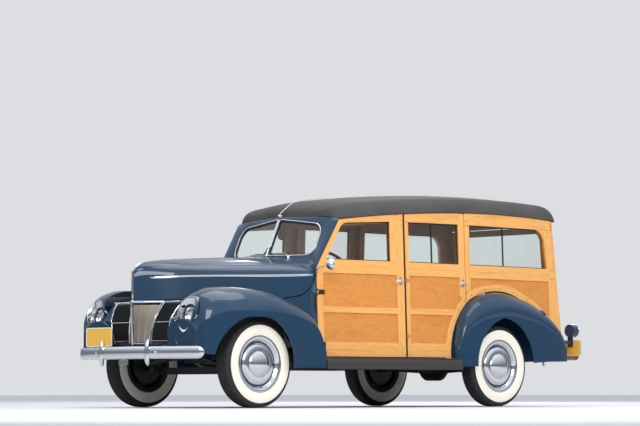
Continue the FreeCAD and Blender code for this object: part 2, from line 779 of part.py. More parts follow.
def fender_solid(table, axle, depth):
    sections = []
    rows = spread(table, 16, 0.6)
    last = len(rows) - 1
    for index, (x, inner_y, inner_z, crown_y, crown_z, outer_y, outer_z, low_z) in enumerate(rows):
        shift = depth if index == 0 else (-depth if index == last else 0.0)
        reach = 40.0 if depth else 0.0
        station = axle(x + shift)
        points = [
            Vector(station, inner_y - reach, low_z - reach * 2), Vector(station, inner_y - reach, inner_z - depth),
            Vector(station, crown_y, crown_z - depth), Vector(station, outer_y - depth, outer_z - depth * 0.6),
            Vector(station, outer_y - depth, low_z - reach * 2),
        ]
        sections.append(Part.Wire([
            Part.makeLine(points[0], points[1]),
            Part.Arc(points[1], points[2], points[3]).toShape(),
            Part.makeLine(points[3], points[4]),
            Part.makeLine(points[4], points[0]),
        ]))
    return Part.makeLoft(sections, True, False)


# Nose: a prow shell between the fenders, opened for the bright grille
nose_bottom = 512.0
nose_top = 900.0
nose_back = ahead(420.0)
nose_table = [
    # height, tip x, corner x, corner y, outer x, outer y
    (512.0, 692.0, 616.0, 130.0, 579.0, 466.0),
    (620.0, 699.0, 611.0, 143.0, 618.0, 466.0),
    (720.0, 704.0, 590.0, 157.0, 620.0, 466.0),
    (810.0, 708.0, 551.0, 180.0, 565.0, 466.0),
    (900.0, 711.0, 508.0, 205.0, 476.0, 466.0),
]


def nose_section(row, height, depth):
    tip, corner_x, corner_y, outer_x, outer_y = [row[index] for index in range(1, 6)]
    back = 60.0 if depth else 0.0
    points = [
        Vector(nose_back - back, outer_y - depth, height), Vector(ahead(outer_x - depth), outer_y - depth, height),
        Vector(ahead(corner_x - depth), corner_y - depth * 0.5, height), Vector(ahead(tip - depth * 1.3), 0, height),
    ]
    across = [Vector(point.x, -point.y, height) for point in reversed(points[:3])]
    points += across
    edges = []
    for first, second in zip(points, points[1:] + points[:1]):
        if abs(first.y) < 1.0 or abs(second.y) < 1.0:
            middle = (first + second) * 0.5
            middle.x += 6.0
            edges.append(Part.Arc(first, middle, second).toShape())
        else:
            edges.append(Part.makeLine(first, second))
    return Part.Wire(edges)


def nose_solid(depth):
    reach = 30.0 if depth else 0.0
    sections = []
    for index, row in enumerate(nose_table):
        shift = -reach if index == 0 else (reach if index == len(nose_table) - 1 else 0.0)
        sections.append(nose_section(row, row[0] + shift, depth))
    return Part.makeLoft(sections, True, True)


def hood_seam(drop):
    """Everything above the hood's lower edge, lowered by a gap."""
    return prism(outline(
        (ahead(-450.0), 911.0 - drop), (ahead(538.0), 885.0 - drop), (ahead(760.0), 862.0 - drop),
        (ahead(760.0), 1400.0), (ahead(-450.0), 1400.0)))


nose_wall = 12.0
hood_shadow = hood_seam(mm("hood_gap"))
rest_pads = joined([box(ahead(200.0), ahead(760.0), 60.0, 90.0, 800.0, 1000.0),
                    box(ahead(200.0), ahead(760.0), -90.0, -60.0, 800.0, 1000.0)])
nose_outer = nose_solid(0.0)
nose_shell = nose_outer.cut(nose_solid(nose_wall)).cut(hood_seam(mm("seat_fit"))).cut(hood_shadow.cut(rest_pads))
nose_lid = nose_outer.common(hood_seam(mm("hood_gap") + 10.0).cut(hood_seam(mm("hood_gap") + 2.0)))
front_fender_form = fender_solid(front_fender_table, ahead, 0.0)
front_fender = front_fender_form.cut(fender_solid(front_fender_table, ahead, mm("fender_wall")))
fender_clear = front_fender.copy()
fender_clear.translate(Vector(-mm("seat_fit"), 0, -mm("seat_fit")))
nose = joined([nose_shell, nose_lid]).cut(fender_clear).cut(mirrored(fender_clear))
rail_way = box(ahead(200.0), ahead(760.0), mm("rail_spread") / 2 - mm("rail_width") / 2 - mm("seat_fit"),
               mm("rail_spread") / 2 + mm("rail_width") / 2 + mm("seat_fit"), 200.0,
               mm("rail_bottom") + mm("rail_kick") + mm("rail_height") + mm("seat_fit"))
nose = nose.cut(rail_way).cut(mirrored(rail_way))
nose = max(nose.Solids, key=lambda solid: solid.Volume)
grille_half_top = 190.0
grille_half_bottom = 118.0
grille_edge = [(-grille_half_bottom, nose_bottom + 12), (grille_half_bottom, nose_bottom + 12),
               (grille_half_top, nose_top - 8), (-grille_half_top, nose_top - 8)]


def front_prism(corners, x1, x2):
    """A front-view outline of y and z, pushed along X."""
    points = [Vector(x1, y, z) for y, z in corners]
    return Part.Face(Part.makePolygon(points + points[:1])).extrude(Vector(x2 - x1, 0, 0))


opening = front_prism(grille_edge, ahead(420.0), ahead(760.0)).cut(hood_seam(22.0))
keep("nose", nose.cut(opening))
grille_border = 9.0
grille_bar_pitch = 23.0
grille_bar_height = 9.0
grille_centre_half = 7.0


def grille_half_at(z):
    """Half width of the grille's opening at a height."""
    share = (z - nose_bottom - 12) / (nose_top - nose_bottom - 20)
    return grille_half_bottom + share * (grille_half_top - grille_half_bottom) - grille_border


shrunk = [(y - math.copysign(0.3, y), z) for y, z in grille_edge]
field = nose_solid(2.0).cut(nose_solid(nose_wall)).common(front_prism(shrunk, ahead(420.0), ahead(760.0)))
field = field.cut(hood_seam(22.0 + mm("seat_fit")))
slots = []
slot_count = int((nose_top - nose_bottom - 70) / grille_bar_pitch)
for index in range(slot_count):
    low = nose_bottom + 21 + index * grille_bar_pitch
    high = low + grille_bar_pitch - grille_bar_height
    for sign in (1, -1):
        corners = [(sign * grille_centre_half, low), (sign * grille_half_at(low), low),
                   (sign * grille_half_at(high), high), (sign * grille_centre_half, high)]
        slots.append(front_prism(corners, ahead(420.0), ahead(760.0)))
keep("grille", field.cut(Part.makeCompound(slots)))

front_fender = front_fender.cut(prism(front_arch, 700.0, 1000.0))
lamp_place = Vector(ahead(430.0), mm("lamp_centre_y"), mm("lamp_centre_z"))
lamp_axis = Vector(1, 0.05, 0)
lamp_bowl = Part.makeCylinder(mm("lamp_radius"), 122.0, lamp_place, lamp_axis)
front_fender = front_fender.cut(Part.makeCylinder(mm("lamp_radius") + 0.3, 200.0, lamp_place, lamp_axis))
both_sides("front_fender", front_fender)
keep("headlamps", Part.makeCompound([lamp_bowl, mirrored(lamp_bowl)]))

# Rear fenders
rear_fender_table = [
    # x from the rear axle, inner y, inner z, crown y, crown z, outer y, outer z, low z
    (520.0, 598.0, 560.0, 745.0, 560.0, 800.0, 470.0, 345.0),
    (470.0, 598.0, 735.0, 745.0, 735.0, 835.0, 610.0, 350.0),
    (375.0, 598.0, 872.0, 745.0, 872.0, 862.0, 705.0, 353.0),
    (222.0, 598.0, 966.0, 745.0, 966.0, 880.0, 770.0, 356.0),
    (-30.0, 598.0, 1015.0, 745.0, 1015.0, 885.0, 800.0, 365.0),
    (-328.0, 598.0, 964.0, 745.0, 964.0, 885.0, 770.0, 385.0),
    (-578.0, 598.0, 864.0, 745.0, 864.0, 878.0, 700.0, 400.0),
    (-778.0, 598.0, 726.0, 745.0, 726.0, 862.0, 600.0, 405.0),
    (-880.0, 598.0, 596.0, 745.0, 596.0, 838.0, 500.0, 405.0),
]
rear_arch = outline(
    (behind(331.0), 250.0), (behind(330.0), 353.0), ((behind(235.0), 648.0), (behind(8.0), 784.0)),
    ((behind(-250.0), 670.0), (behind(-384.0), 400.0)), (behind(-386.0), 250.0))


def rear_section(row, shift, depth):
    x, inner_y, inner_z, crown_y, crown_z, outer_y, outer_z, low_z = row
    station = behind(x + shift)
    low = low_z - 8 * depth
    corner = Vector(station, inner_y + depth, crown_z - depth)
    start = Vector(station, crown_y, crown_z - depth)
    end = Vector(station, outer_y - depth, outer_z)
    through = Vector(station, crown_y + (outer_y - depth - crown_y) * 0.78, outer_z + (start.z - outer_z) * 0.72)
    foot = Vector(station, outer_y - depth, low)
    heel = Vector(station, inner_y + depth, low)
    return Part.Wire([
        Part.makeLine(heel, corner), Part.makeLine(corner, start), Part.Arc(start, through, end).toShape(),
        Part.makeLine(end, foot), Part.makeLine(foot, heel)])


def rear_fender_solid(depth):
    rows = spread(rear_fender_table, 16, 0.6)
    sections = []
    for index, row in enumerate(rows):
        shift = -depth if index == 0 else (depth if index == len(rows) - 1 else 0.0)
        sections.append(rear_section(row, shift, depth))
    return Part.makeLoft(sections, True, False)


rear_fender = rear_fender_solid(0.0).cut(rear_fender_solid(mm("fender_wall")))
rear_fender = rear_fender.cut(prism(rear_arch, 700.0, 1000.0))
axle_slot = box(behind(-110.0), behind(110.0), 560.0, 700.0, 200.0, 520.0)
rear_fender = rear_fender.cut(axle_slot)
both_sides("rear_fender", rear_fender)

# Tail: fixed frame, tailgate and liftgate, all in one leaning plate
def leaning(low, high, front, back):
    """A plate in the plane of the tail, between two depths ahead of its outer face."""
    corners = [(rear_face(low) + back, low), (rear_face(high) + back, high),
               (rear_face(high) + front, high), (rear_face(low) + front, low)]
    return prism(outline(*corners), -900.0, 900.0)


def slab(half):
    return box(-4000, 4000, -half, half, 0, 2500)


gate_depth = mm("gate_thickness")
inside = mm("wall_thickness") + mm("seat_fit")
outer_left = wall(-200, inside)
tail_top = edge_height(rear_face(1690.0)) - 6
tail = leaning(mm("sill_height"), tail_top, gate_depth, 0.0).common(slab(730.0))
tail = tail.cut(outer_left).cut(mirrored(outer_left))
gap = mm("gate_gap")
tail = tail.cut(leaning(mm("gate_bottom") - gap, mm("liftgate_top") + gap, 60.0, -20.0).common(
    slab(mm("gate_half_width") + gap)))
for sign in (1, -1):
    arm_y = sign * mm("rail_spread") / 2
    tail = tail.cut(box(-4000, 0, arm_y - 26, arm_y + 26, 0, mm("rear_bumper_bottom") + 46))


def gate_frame(y, height):
    """Hinge frame on the tail: forward runs up the face and up runs across the car."""
    upward = Vector(rear_face(1.0) - rear_face(0.0), 0, 1.0)
    upward.normalize()
    across = Vector(0, -1, 0)
    return Vector(rear_face(height), y, height), upward, across.cross(upward), across


gate_line = mm("gate_bottom") - gap / 2
lift_line = mm("liftgate_top") + gap / 2
tail_pieces = [tail]
for sign in (1, -1):
    tail_pieces += fixed_leaf(gate_frame(sign * mm("gate_hinge_y"), gate_line), -1, 2.0)
    tail_pieces += fixed_leaf(gate_frame(sign * mm("gate_hinge_y"), lift_line), 1, 2.0)
keep("tail_frame", joined(tail_pieces))
half = mm("gate_half_width")
tailgate = leaning(mm("gate_bottom"), mm("gate_top"), gate_depth, 0.0).common(slab(half))
tailgate = tailgate.cut(leaning(mm("gate_bottom") + 80, mm("gate_top") - 70, mm("panel_recess"), -20.0).common(
    slab(half - 70)))
tailgate = [tailgate]
liftgate_leaves = []
for sign in (1, -1):
    tailgate += moving_leaf(gate_frame(sign * mm("gate_hinge_y"), gate_line), 1)
    liftgate_leaves += moving_leaf(gate_frame(sign * mm("gate_hinge_y"), lift_line), -1)
keep("tailgate", joined(tailgate))
lift_low = mm("gate_top") + gap
liftgate = leaning(lift_low, mm("liftgate_top"), gate_depth, 0.0).common(slab(half))
rear_pane = leaning(lift_low + 56, mm("liftgate_top") - 56, gate_depth, 0.0).common(slab(half - 60))
liftgate = liftgate.cut(leaning(lift_low + 56, mm("liftgate_top") - 56, 60.0, -20.0).common(slab(half - 60)))
keep("liftgate", joined([liftgate] + liftgate_leaves))
fit = mm("seat_fit")
set_in = mm("glass_set_in")
rear_glass = leaning(lift_low + 56 + fit, mm("liftgate_top") - 56 - fit, set_in + mm("glass_thickness"), set_in)
keep("liftgate_glass", rear_glass.common(slab(half - 60 - fit)))

# Windscreen: two flat panes that meet in a vee, in a steel frame
screen_base_x = ahead(-mm("screen_base_from_axle"))


def screen_point(y, up, out):
    """A point of the left pane's plane: y, height above the base, and distance out along its normal."""
    x = screen_base_x - mm("screen_sweep") * y / mm("screen_half_width") - mm("screen_rake") * up / mm("screen_rise")
    normal = Vector(1, mm("screen_sweep") / mm("screen_half_width"), mm("screen_rake") / mm("screen_rise"))
    normal.normalize()
    return Vector(x, y, mm("screen_base_height") + up) + normal * out


def screen_plate(corners, inside_face, outside_face):
    points = [screen_point(y, up, inside_face) for y, up in corners]
    normal = screen_point(0, 0, 1) - screen_point(0, 0, 0)
    return Part.Face(Part.makePolygon(points + points[:1])).extrude(normal * (outside_face - inside_face))


screen_half = mm("screen_half_width")
rise = mm("screen_rise")
glass_corners = [(14.0, 12.0), (screen_half, 4.0), (screen_half, rise - 66), (14.0, rise - 6)]
frame_corners = [(-20.0, -36.0), (screen_half + 64, -42.0), (screen_half + 64, rise + 40), (-20.0, rise + 60)]
screen_frame = screen_plate(frame_corners, -26.0, 0.0).cut(box(-4000, 4000, -300, 0, 0, 2500))
screen_frame = screen_frame.cut(screen_plate(glass_corners, -60.0, 60.0))
pane_corners = [(14.0 + fit, 12.0 + fit), (screen_half - fit, 4.0 + fit), (screen_half - fit, rise - 66 - fit),
                (14.0 + fit, rise - 6 - fit)]
screen_pane = screen_plate(pane_corners, -14.0, -9.0)

floor_low = mm("rail_bottom") + mm("rail_kick") + mm("rail_height") + mm("seat_fit")

# Cowl: scuttle skin, pillars, windscreen frame and firewall in one pressing
firewall_rear = door_front + mm("door_gap")
firewall = front_solid(0.0).common(
    box(firewall_rear, hood_rear - mm("hood_gap"), -700, 700, floor_low, 1400))
cowl_parts = [cowl_skin, pillar, mirrored(pillar), screen_frame, mirrored(screen_frame)]
above_header = prism(outline(
    (200.0, header_line(200.0) - 0.6), (900.0, header_line(900.0) - 0.6), (900.0, 2100.0), (200.0, 2100.0)))
cowl = joined(cowl_parts).cut(door_clear).cut(above_header)
cowl_hinges = []
for place in front_hinges:
    cowl_hinges += fixed_leaf(place, 1, 30.0)
cowl_hinges += [mirrored(piece) for piece in cowl_hinges]
for place in hood_hinges:
    cowl_hinges += fixed_leaf(place, -1, 2.0)
cowl = joined([cowl, firewall] + cowl_hinges)
keep("cowl", cowl)
keep("fixed_glass", Part.makeCompound([screen_pane, mirrored(screen_pane)] + fixed_panes))

# Tyres and wheels, turned about their own Y axis with +Y outward
bead = size["tyre_bead_radius"]
tyre_half = size["tyre_width"] / 2
tyre_radius = size["tyre_diameter"] / 2
rim_half = size["rim_width"] / 2
fit_dim = size["seat_fit"]
tyre_profile = [
    (bead, -(rim_half + 7)), (bead, rim_half + 7), (bead + 34, rim_half + 9), (bead + 70, tyre_half),
    (tyre_radius - 46, tyre_half - 3), (tyre_radius - 5, size["tread_width"] / 2 + 2), (tyre_radius, size["tread_width"] / 2 - 12),
    (tyre_radius, -(size["tread_width"] / 2 - 12)), (tyre_radius - 5, -(size["tread_width"] / 2 + 2)),
    (tyre_radius - 46, -(tyre_half - 3)), (bead + 70, -tyre_half), (bead + 34, -(rim_half + 9)),
]
bore = size["spindle_radius"] + size["spindle_fit"]
hub = size["hub_radius"]
drum = size["drum_radius"]
barrel = bead - fit_dim
cap = size["cap_radius"]
dome = size["cap_dome_radius"]
drum_back = -size["drum_depth"]
disc_face = 14.0
wheel_profile = [
    (bore, -40.0), (hub, -40.0), (hub, disc_face), (drum - 12, disc_face), (drum - 12, drum_back),
    (drum, drum_back), (drum, disc_face), (barrel - 6, disc_face), (barrel - 6, -(rim_half + 7)),
    (barrel, -(rim_half + 7)), (barrel, rim_half + 9.4), (bead + 28, rim_half + 10), (bead + 27, rim_half + 14),
    (bead - 8, rim_half + 9), (cap + 12, rim_half - 9), (cap + 2, rim_half - 9), (cap, rim_half - 3),
    (cap - 24, rim_half + 7), (dome + 6, rim_half + 10), (dome, rim_half + 20), (dome * 0.7, rim_half + 35),
    (dome * 0.36, rim_half + 43), (0.0, rim_half + 45), (0.0, 40.0), (bore, 40.0),
]
half_turn_back = FreeCAD.Rotation(Vector(0, 0, 1), 180)
corners_of_car = [
    # name, station, half track, side
    ("front_left", front_axle, size["front_track"] / 2, 1),
    ("front_right", front_axle, size["front_track"] / 2, -1),
    ("rear_left", rear_axle, size["rear_track"] / 2, 1),
    ("rear_right", rear_axle, size["rear_track"] / 2, -1),
]
for name, station, half_track, sign in corners_of_car:
    for kind, profile in (("tyre_", tyre_profile), ("wheel_", wheel_profile)):
        body = new_body(kind + name)
        revolve(body, kind + name + "_turned", polygon(body, kind + name + "_profile", "XY_Plane", profile))
        if sign < 0:
            body.Placement.Rotation = half_turn_back
        seat(body, kind + name, station, half_track * sign, axle_height)

# Steering knuckles: spindle, backing plate and the fork that holds the kingpin
inset = mm("kingpin_inset")
boss_radius = mm("kingpin_boss_radius")
boss_height = mm("kingpin_boss_height")
ear = mm("knuckle_ear")
ear_gap = mm("knuckle_gap")
wheel_y = mm("front_track") / 2
height = float(axle_height)
kingpin_y = wheel_y - inset
front_x = float(front_axle)
out = Vector(0, 1, 0)
up = Vector(0, 0, 1)
backing = mm("backing_plate_radius")
ear_z = boss_height / 2 + ear_gap
knuckle_parts = [
    Part.makeCylinder(mm("spindle_radius"), inset + 10, Vector(front_x, wheel_y - inset + 27, height), out),
    Part.makeCylinder(backing, mm("backing_plate_thickness"), Vector(front_x, wheel_y - 62, height), out),
    Part.makeCylinder(mm("kingpin_radius"), boss_height + 2 * (ear + ear_gap),
                      Vector(front_x, kingpin_y, height - ear_z - ear), up),
    Part.makeCylinder(boss_radius, ear, Vector(front_x, kingpin_y, height + ear_z), up),
    Part.makeCylinder(boss_radius, ear, Vector(front_x, kingpin_y, height - ear_z - ear), up),
    box(front_x - 22, front_x + 22, kingpin_y + 28, wheel_y - 60, height - ear_z - ear, height + ear_z + ear),
    box(front_x - 22, front_x + 22, kingpin_y, kingpin_y + 30, height + ear_z, height + ear_z + ear),
    box(front_x - 22, front_x + 22, kingpin_y, kingpin_y + 30, height - ear_z - ear, height - ear_z),
    box(front_x - 150, front_x - 10, kingpin_y - 8, kingpin_y + 18, height - ear_z - ear, height - ear_z - 2),
]
both_sides("knuckle", joined(knuckle_parts))

# Front axle: a dropped I beam with a boss for each kingpin
flange = mm("beam_flange")
drop = mm("beam_drop")
depth = mm("beam_depth")


def beam_face(trim):
    """Front view of the beam, its outline set in by a trim."""
    top = height + depth / 2 - trim
    low = height - depth / 2 + trim
    reach = kingpin_y - 8
    bend = kingpin_y - 150
    corners = [(-reach, low), (-bend, low - drop), (bend, low - drop), (reach, low),
               (reach, top), (bend, top - drop), (-bend, top - drop), (-reach, top)]
    points = [Vector(0, y, z) for y, z in corners]
    return Part.Face(Part.makePolygon(points + points[:1]))


beam = beam_face(0.0).extrude(Vector(flange, 0, 0))
beam.translate(Vector(front_x - flange / 2, 0, 0))
pocket = beam_face(10.0).extrude(Vector(flange, 0, 0))
web = mm("beam_web")
pocket = pocket.cut(box(-200, 200, kingpin_y - 60, 900, 0, 900)).cut(box(-200, 200, -900, -kingpin_y + 60, 0, 900))
front_pocket = pocket.copy()
front_pocket.translate(Vector(front_x + web / 2, 0, 0))
rear_pocket = pocket.copy()
rear_pocket.translate(Vector(front_x - web / 2 - flange, 0, 0))
beam = beam.cut(front_pocket).cut(rear_pocket)
for sign in (1, -1):
    at = Vector(front_x, sign * kingpin_y, height - boss_height / 2)
    beam = beam.fuse(Part.makeCylinder(boss_radius, boss_height, at, up))
    beam = beam.cut(Part.makeCylinder(mm("kingpin_radius") + mm("kingpin_fit"), boss_height, at, up))
keep("front_axle", beam.removeSplitter())

# Rear axle: banjo housing with tapered tubes, backing plates and shaft ends
rear_half = size["rear_track"] / 2
tube = size["axle_tube_radius"]
tube_end = size["axle_tube_end_radius"]
half_profile = [
    (size["spindle_radius"], rear_half + 36), (size["spindle_radius"], rear_half - 56),
    (size["backing_plate_radius"], rear_half - 56),
    (size["backing_plate_radius"], rear_half - 56 - size["backing_plate_thickness"]),
    (tube_end, rear_half - 56 - size["backing_plate_thickness"]), (tube_end, rear_half - 120), (tube, rear_half - 150),
    (tube + 22, size["banjo_width"]), (size["banjo_radius"], size["banjo_width"] / 2.2),
]
axle_profile = [(0.0, rear_half + 36)] + half_profile
axle_profile += [(radius, -along) for radius, along in reversed(half_profile)] + [(0.0, -(rear_half + 36))]
body = new_body("rear_axle")
revolve(body, "rear_axle_turned", polygon(body, "rear_axle_profile", "XY_Plane", axle_profile))
seat(body, "rear_axle", rear_axle, 0.0, axle_height)

# Frame rails with a kick over each axle, and the members between them
rail_low = mm("rail_bottom")
kick = mm("rail_kick")
rail_tall = mm("rail_height")
rail_front = ahead(600.0)
rail_rear = behind(-945.0)
rail_side = outline(
    (rail_rear, rail_low + kick), (behind(360.0), rail_low + kick), (behind(560.0), rail_low),
    (ahead(-420.0), rail_low), (ahead(-230.0), rail_low + kick), (rail_front, rail_low + kick),
    (rail_front, rail_low + kick + rail_tall), (ahead(-270.0), rail_low + kick + rail_tall),
    (ahead(-460.0), rail_low + rail_tall), (behind(600.0), rail_low + rail_tall),
    (behind(400.0), rail_low + kick + rail_tall), (rail_rear, rail_low + kick + rail_tall))
rail_y = mm("rail_spread") / 2
rail_half = mm("rail_width") / 2
rail = prism(rail_side, rail_y - rail_half, rail_y + rail_half)
keep("frame_rails", Part.makeCompound([rail, mirrored(rail)]))
front_spring_low = 338.0
front_spring_rise = 60.0
rear_spring_low = 330.0
rear_spring_rise = 20.0
front_spring_top = front_spring_low + front_spring_rise + mm("spring_stack")
rear_spring_top = rear_spring_low + rear_spring_rise + mm("spring_stack")
member_table = [
    # station, low z, high z
    (ahead(138.5), front_spring_top + fit, rail_low + kick + rail_tall),
    (ahead(540.0), rail_low + kick, rail_low + kick + 60),
    (ahead(-640.0), rail_low, mm("engine_bottom") - fit),
    (0.0, rail_low, rail_low + mm("cross_member_depth")),
    (behind(860.0), rail_low, rail_low + mm("cross_member_depth")),
    (behind(-221.5), rear_spring_top + fit, rail_low + kick + rail_tall),
    (behind(-900.0), rail_low + kick, rail_low + kick + 70),
]
half_member = mm("cross_member_width") / 2
inner_y = rail_y - rail_half
members = [box(x - half_member, x + half_member, -inner_y, inner_y, low, high) for x, low, high in member_table]
keep("cross_members", Part.makeCompound(members))

# Springs: one leaf pack across the car at each axle, bowed up in the middle
def leaf_pack(x, span, low, rise_at_centre):
    stack = mm("spring_stack")
    bow = Part.Arc(Vector(x, -span, low), Vector(x, 0, low + rise_at_centre), Vector(x, span, low)).toShape()
    lift = Part.Arc(Vector(x, span, low + 14), Vector(x, 0, low + rise_at_centre + stack), Vector(x, -span, low + 14))
    ends = [Part.makeLine(Vector(x, span, low), Vector(x, span, low + 14)),
            Part.makeLine(Vector(x, -span, low + 14), Vector(x, -span, low))]
    face = Part.Face(Part.Wire([bow, ends[0], lift.toShape(), ends[1]]))
    return face.extrude(Vector(mm("spring_leaf_width"), 0, 0))


# Engine, gearbox and driveline
engine_rear = hood_rear - 40 + mm("engine_ahead_of_cowl")
engine_half = mm("engine_width") / 2
engine = box(engine_rear, engine_rear + mm("engine_length"), -engine_half, engine_half,
             mm("engine_bottom"), mm("engine_bottom") + mm("engine_height"))
keep("engine", engine)
gearbox = Part.makeCylinder(mm("gearbox_radius"), mm("gearbox_length"),
                            Vector(engine_rear - mm("gearbox_length"), 0, mm("gearbox_height")), Vector(1, 0, 0))
tube_start = Vector(engine_rear - mm("gearbox_length") + 5, 0, mm("gearbox_height"))
tube_end_point = Vector(float(rear_axle) + mm("banjo_radius") - 18, 0, height)
run = tube_end_point - tube_start
torque_tube = Part.makeCylinder(mm("torque_tube_radius"), run.Length, tube_start, run)
housing = Part.makeCylinder(mm("banjo_radius") + 0.3, 400.0, Vector(float(rear_axle), -200, height), out)
keep("driveline", joined([gearbox, torque_tube]).cut(housing))

# Floor, from the firewall to the tail, let in round the wheel wells
floor_top = mm("floor_height")
well = mm("well_half_width") - fit
floor_plan = [
    (firewall_rear - fit, 560.0), (door_front - 60, 596.0), (rear_door_front, 655.0), (behind(560.0), 655.0),
    (behind(560.0), well),
    (behind(-930.0), well), (rear_face(floor_top) + gate_depth + 4, well),
]
floor_points = [Vector(x, y, floor_low) for x, y in floor_plan]
floor_points += [Vector(x, -y, floor_low) for x, y in reversed(floor_plan)]
floor = Part.Face(Part.makePolygon(floor_points + floor_points[:1])).extrude(Vector(0, 0, floor_top - floor_low))
load_panel = box(rear_face(floor_top) + gate_depth + 10, behind(-757.0), -540, 540, floor_top - 2, floor_top + 6)
keep("floor", floor.fuse(load_panel).removeSplitter())

# Running boards
board_front = ahead(-690.0) - 0.3
board_rear = behind(520.0) + 0.3
for side_name, sign in (("left", 1), ("right", -1)):
    body = new_body("running_board_" + side_name)
    inner_edge = size["board_inner"] * sign
    outer_edge = size["board_outer"] * sign
    plan = [(inner_edge, size["board_bottom"]), (outer_edge, size["board_bottom"]),
            (outer_edge, size["board_top"]), (inner_edge, size["board_top"])]
    section = polygon(body, "board_section_" + side_name, "YZ_Plane", plan)
    length = (size["wheelbase"] - 690.0 - 520.0 - 0.6)
    board = pad(body, "board_" + side_name, section, length)
    outer_y = mm("board_outer") * sign
    round_edges(body, "board_round_" + side_name, board, size["board_round"],
                lambda edge, middle: abs(middle.y - outer_y) < 1 and middle.z > mm("board_top") - 1)
    seat(body, "running_board_" + side_name, rear_axle + 520.0 + 0.3, 0.0, 0.0)

# Seats: a bench and its back in one profile
seat_table = [
    # name, station of the cushion's front edge
    ("front_seat", front_axle - size["front_seat_from_axle"]),
    ("middle_seat", rear_axle + size["middle_seat_from_rear"]),
    ("rear_seat", rear_axle + size["rear_seat_from_rear"]),
]
for name, station in seat_table:
    body = new_body(name)
    cushion = size["seat_depth"]
    tall = size["seat_height"]
    back = size["seat_back_height"]
    thick = size["seat_back_thickness"]
    profile = [(0.0, 12.0), (0.0, tall), (-cushion, tall - 30), (-cushion - 60, back), (-cushion - thick, back),
               (-cushion - thick + 40, 12.0), (-cushion - thick + 40, 0.0), (-30.0, 0.0)]
    section = polygon(body, name + "_section", "XZ_Plane", profile)
    bench = pad(body, name + "_bench", section, size["seat_width"], midplane=True)
    round_edges(body, name + "_round", bench, size["seat_round"],
                lambda edge, middle: abs(middle.y) < 1 and middle.z > mm("seat_height") - 5)
    seat(body, name, station, 0.0, size["floor_height"] + fit_dim)

# Dashboard, steering column and wheel
dash = box(screen_base_x - 120, firewall_rear - fit, -530, 530, 1040, 1184)
keep("dashboard", dash)
column_slope = math.radians(36.0)
column_axis = Vector(math.cos(column_slope), 0, -math.sin(column_slope))
rim_centre = Vector(hood_rear - 480.0, 360.0, 1150.0)
steering_rim = Part.makeTorus(mm("steering_wheel_radius"), mm("steering_rim_radius"), rim_centre, column_axis)
centre_boss = Part.makeCylinder(36.0, 44.0, rim_centre + column_axis * -4, column_axis)
wheel_parts = [steering_rim, centre_boss]
side_way = Vector(0, 1, 0)
cross_way = column_axis.cross(side_way)
for turn in (90.0, 210.0, 330.0):
    way = cross_way * math.sin(math.radians(turn)) + side_way * math.cos(math.radians(turn))
    wheel_parts.append(Part.makeCylinder(7.0, mm("steering_wheel_radius"), rim_centre + column_axis * 14, way))
steering_wheel = joined(wheel_parts)
keep("steering_wheel", steering_wheel)
column_start = rim_centre + column_axis * 40.5
column_length = (firewall_rear - column_start.x) / column_axis.x + 40
column = Part.makeCylinder(22.0, column_length, column_start, column_axis)
keep("steering_column", column.cut(box(firewall_rear - fit, 2000.0, 0.0, 800.0, 0.0, 1200.0)))

# Bumpers: a bowed bar with two guards and the arms that carry it
def bowed_bar(tip_x, bow, half_width, low, tall, thick, direction):
    """A bar bent to a circle in plan, its face rounded."""
    radius = (half_width ** 2 + bow ** 2) / (2 * bow)
    centre_x = tip_x - direction * radius
    angle = math.degrees(math.asin(half_width / radius))
    inner_x = tip_x - direction * thick
    middle = low + tall / 2
    face = Part.Wire([
        Part.Arc(Vector(tip_x - direction * 9, 0, low), Vector(tip_x, 0, middle),
                 Vector(tip_x - direction * 9, 0, low + tall)).toShape(),
        Part.makeLine(Vector(tip_x - direction * 9, 0, low + tall), Vector(inner_x, 0, low + tall - 6)),
        Part.makeLine(Vector(inner_x, 0, low + tall - 6), Vector(inner_x, 0, low + 6)),
        Part.makeLine(Vector(inner_x, 0, low + 6), Vector(tip_x - direction * 9, 0, low)),
    ])
    section = Part.Face(face)
    centre = Vector(centre_x, 0, 0)
    section.rotate(centre, up, -angle)
    return section.revolve(centre, up, 2 * angle)


def bumper(tip_x, bow, low, direction, arm_end):
    tall = mm("bumper_height")
    bar = bowed_bar(tip_x, bow, mm("bumper_half_width"), low, tall, mm("bumper_thickness"), direction)
    half_width = mm("bumper_half_width")
    radius = (half_width ** 2 + bow ** 2) / (2 * bow)
    parts = [bar]
    for sign in (1, -1):
        guard_y = sign * mm("guard_spacing") / 2
        guard_x = tip_x - direction * (radius - math.sqrt(radius ** 2 - guard_y ** 2))
        half_guard = mm("guard_width") / 2
        middle = low + tall / 2
        guard = box(guard_x - direction * 30, guard_x + direction * (mm("guard_depth") - 16),
                    guard_y - half_guard, guard_y + half_guard, middle - mm("guard_height") / 2,
                    middle + mm("guard_height") / 2)
        upright = [edge for edge in guard.Edges if abs(edge.Vertexes[0].Z - edge.Vertexes[1].Z) > 50]
        parts.append(guard.makeFillet(12.0, upright))
        arm_y = sign * rail_y
        bar_x = tip_x - direction * (radius - math.sqrt(radius ** 2 - arm_y ** 2) + mm("bumper_thickness") - 4)
        arm_low = low + 6
        parts.append(box(bar_x, arm_end, arm_y - 20, arm_y + 20, arm_low, arm_low + 32))
    return joined(parts)


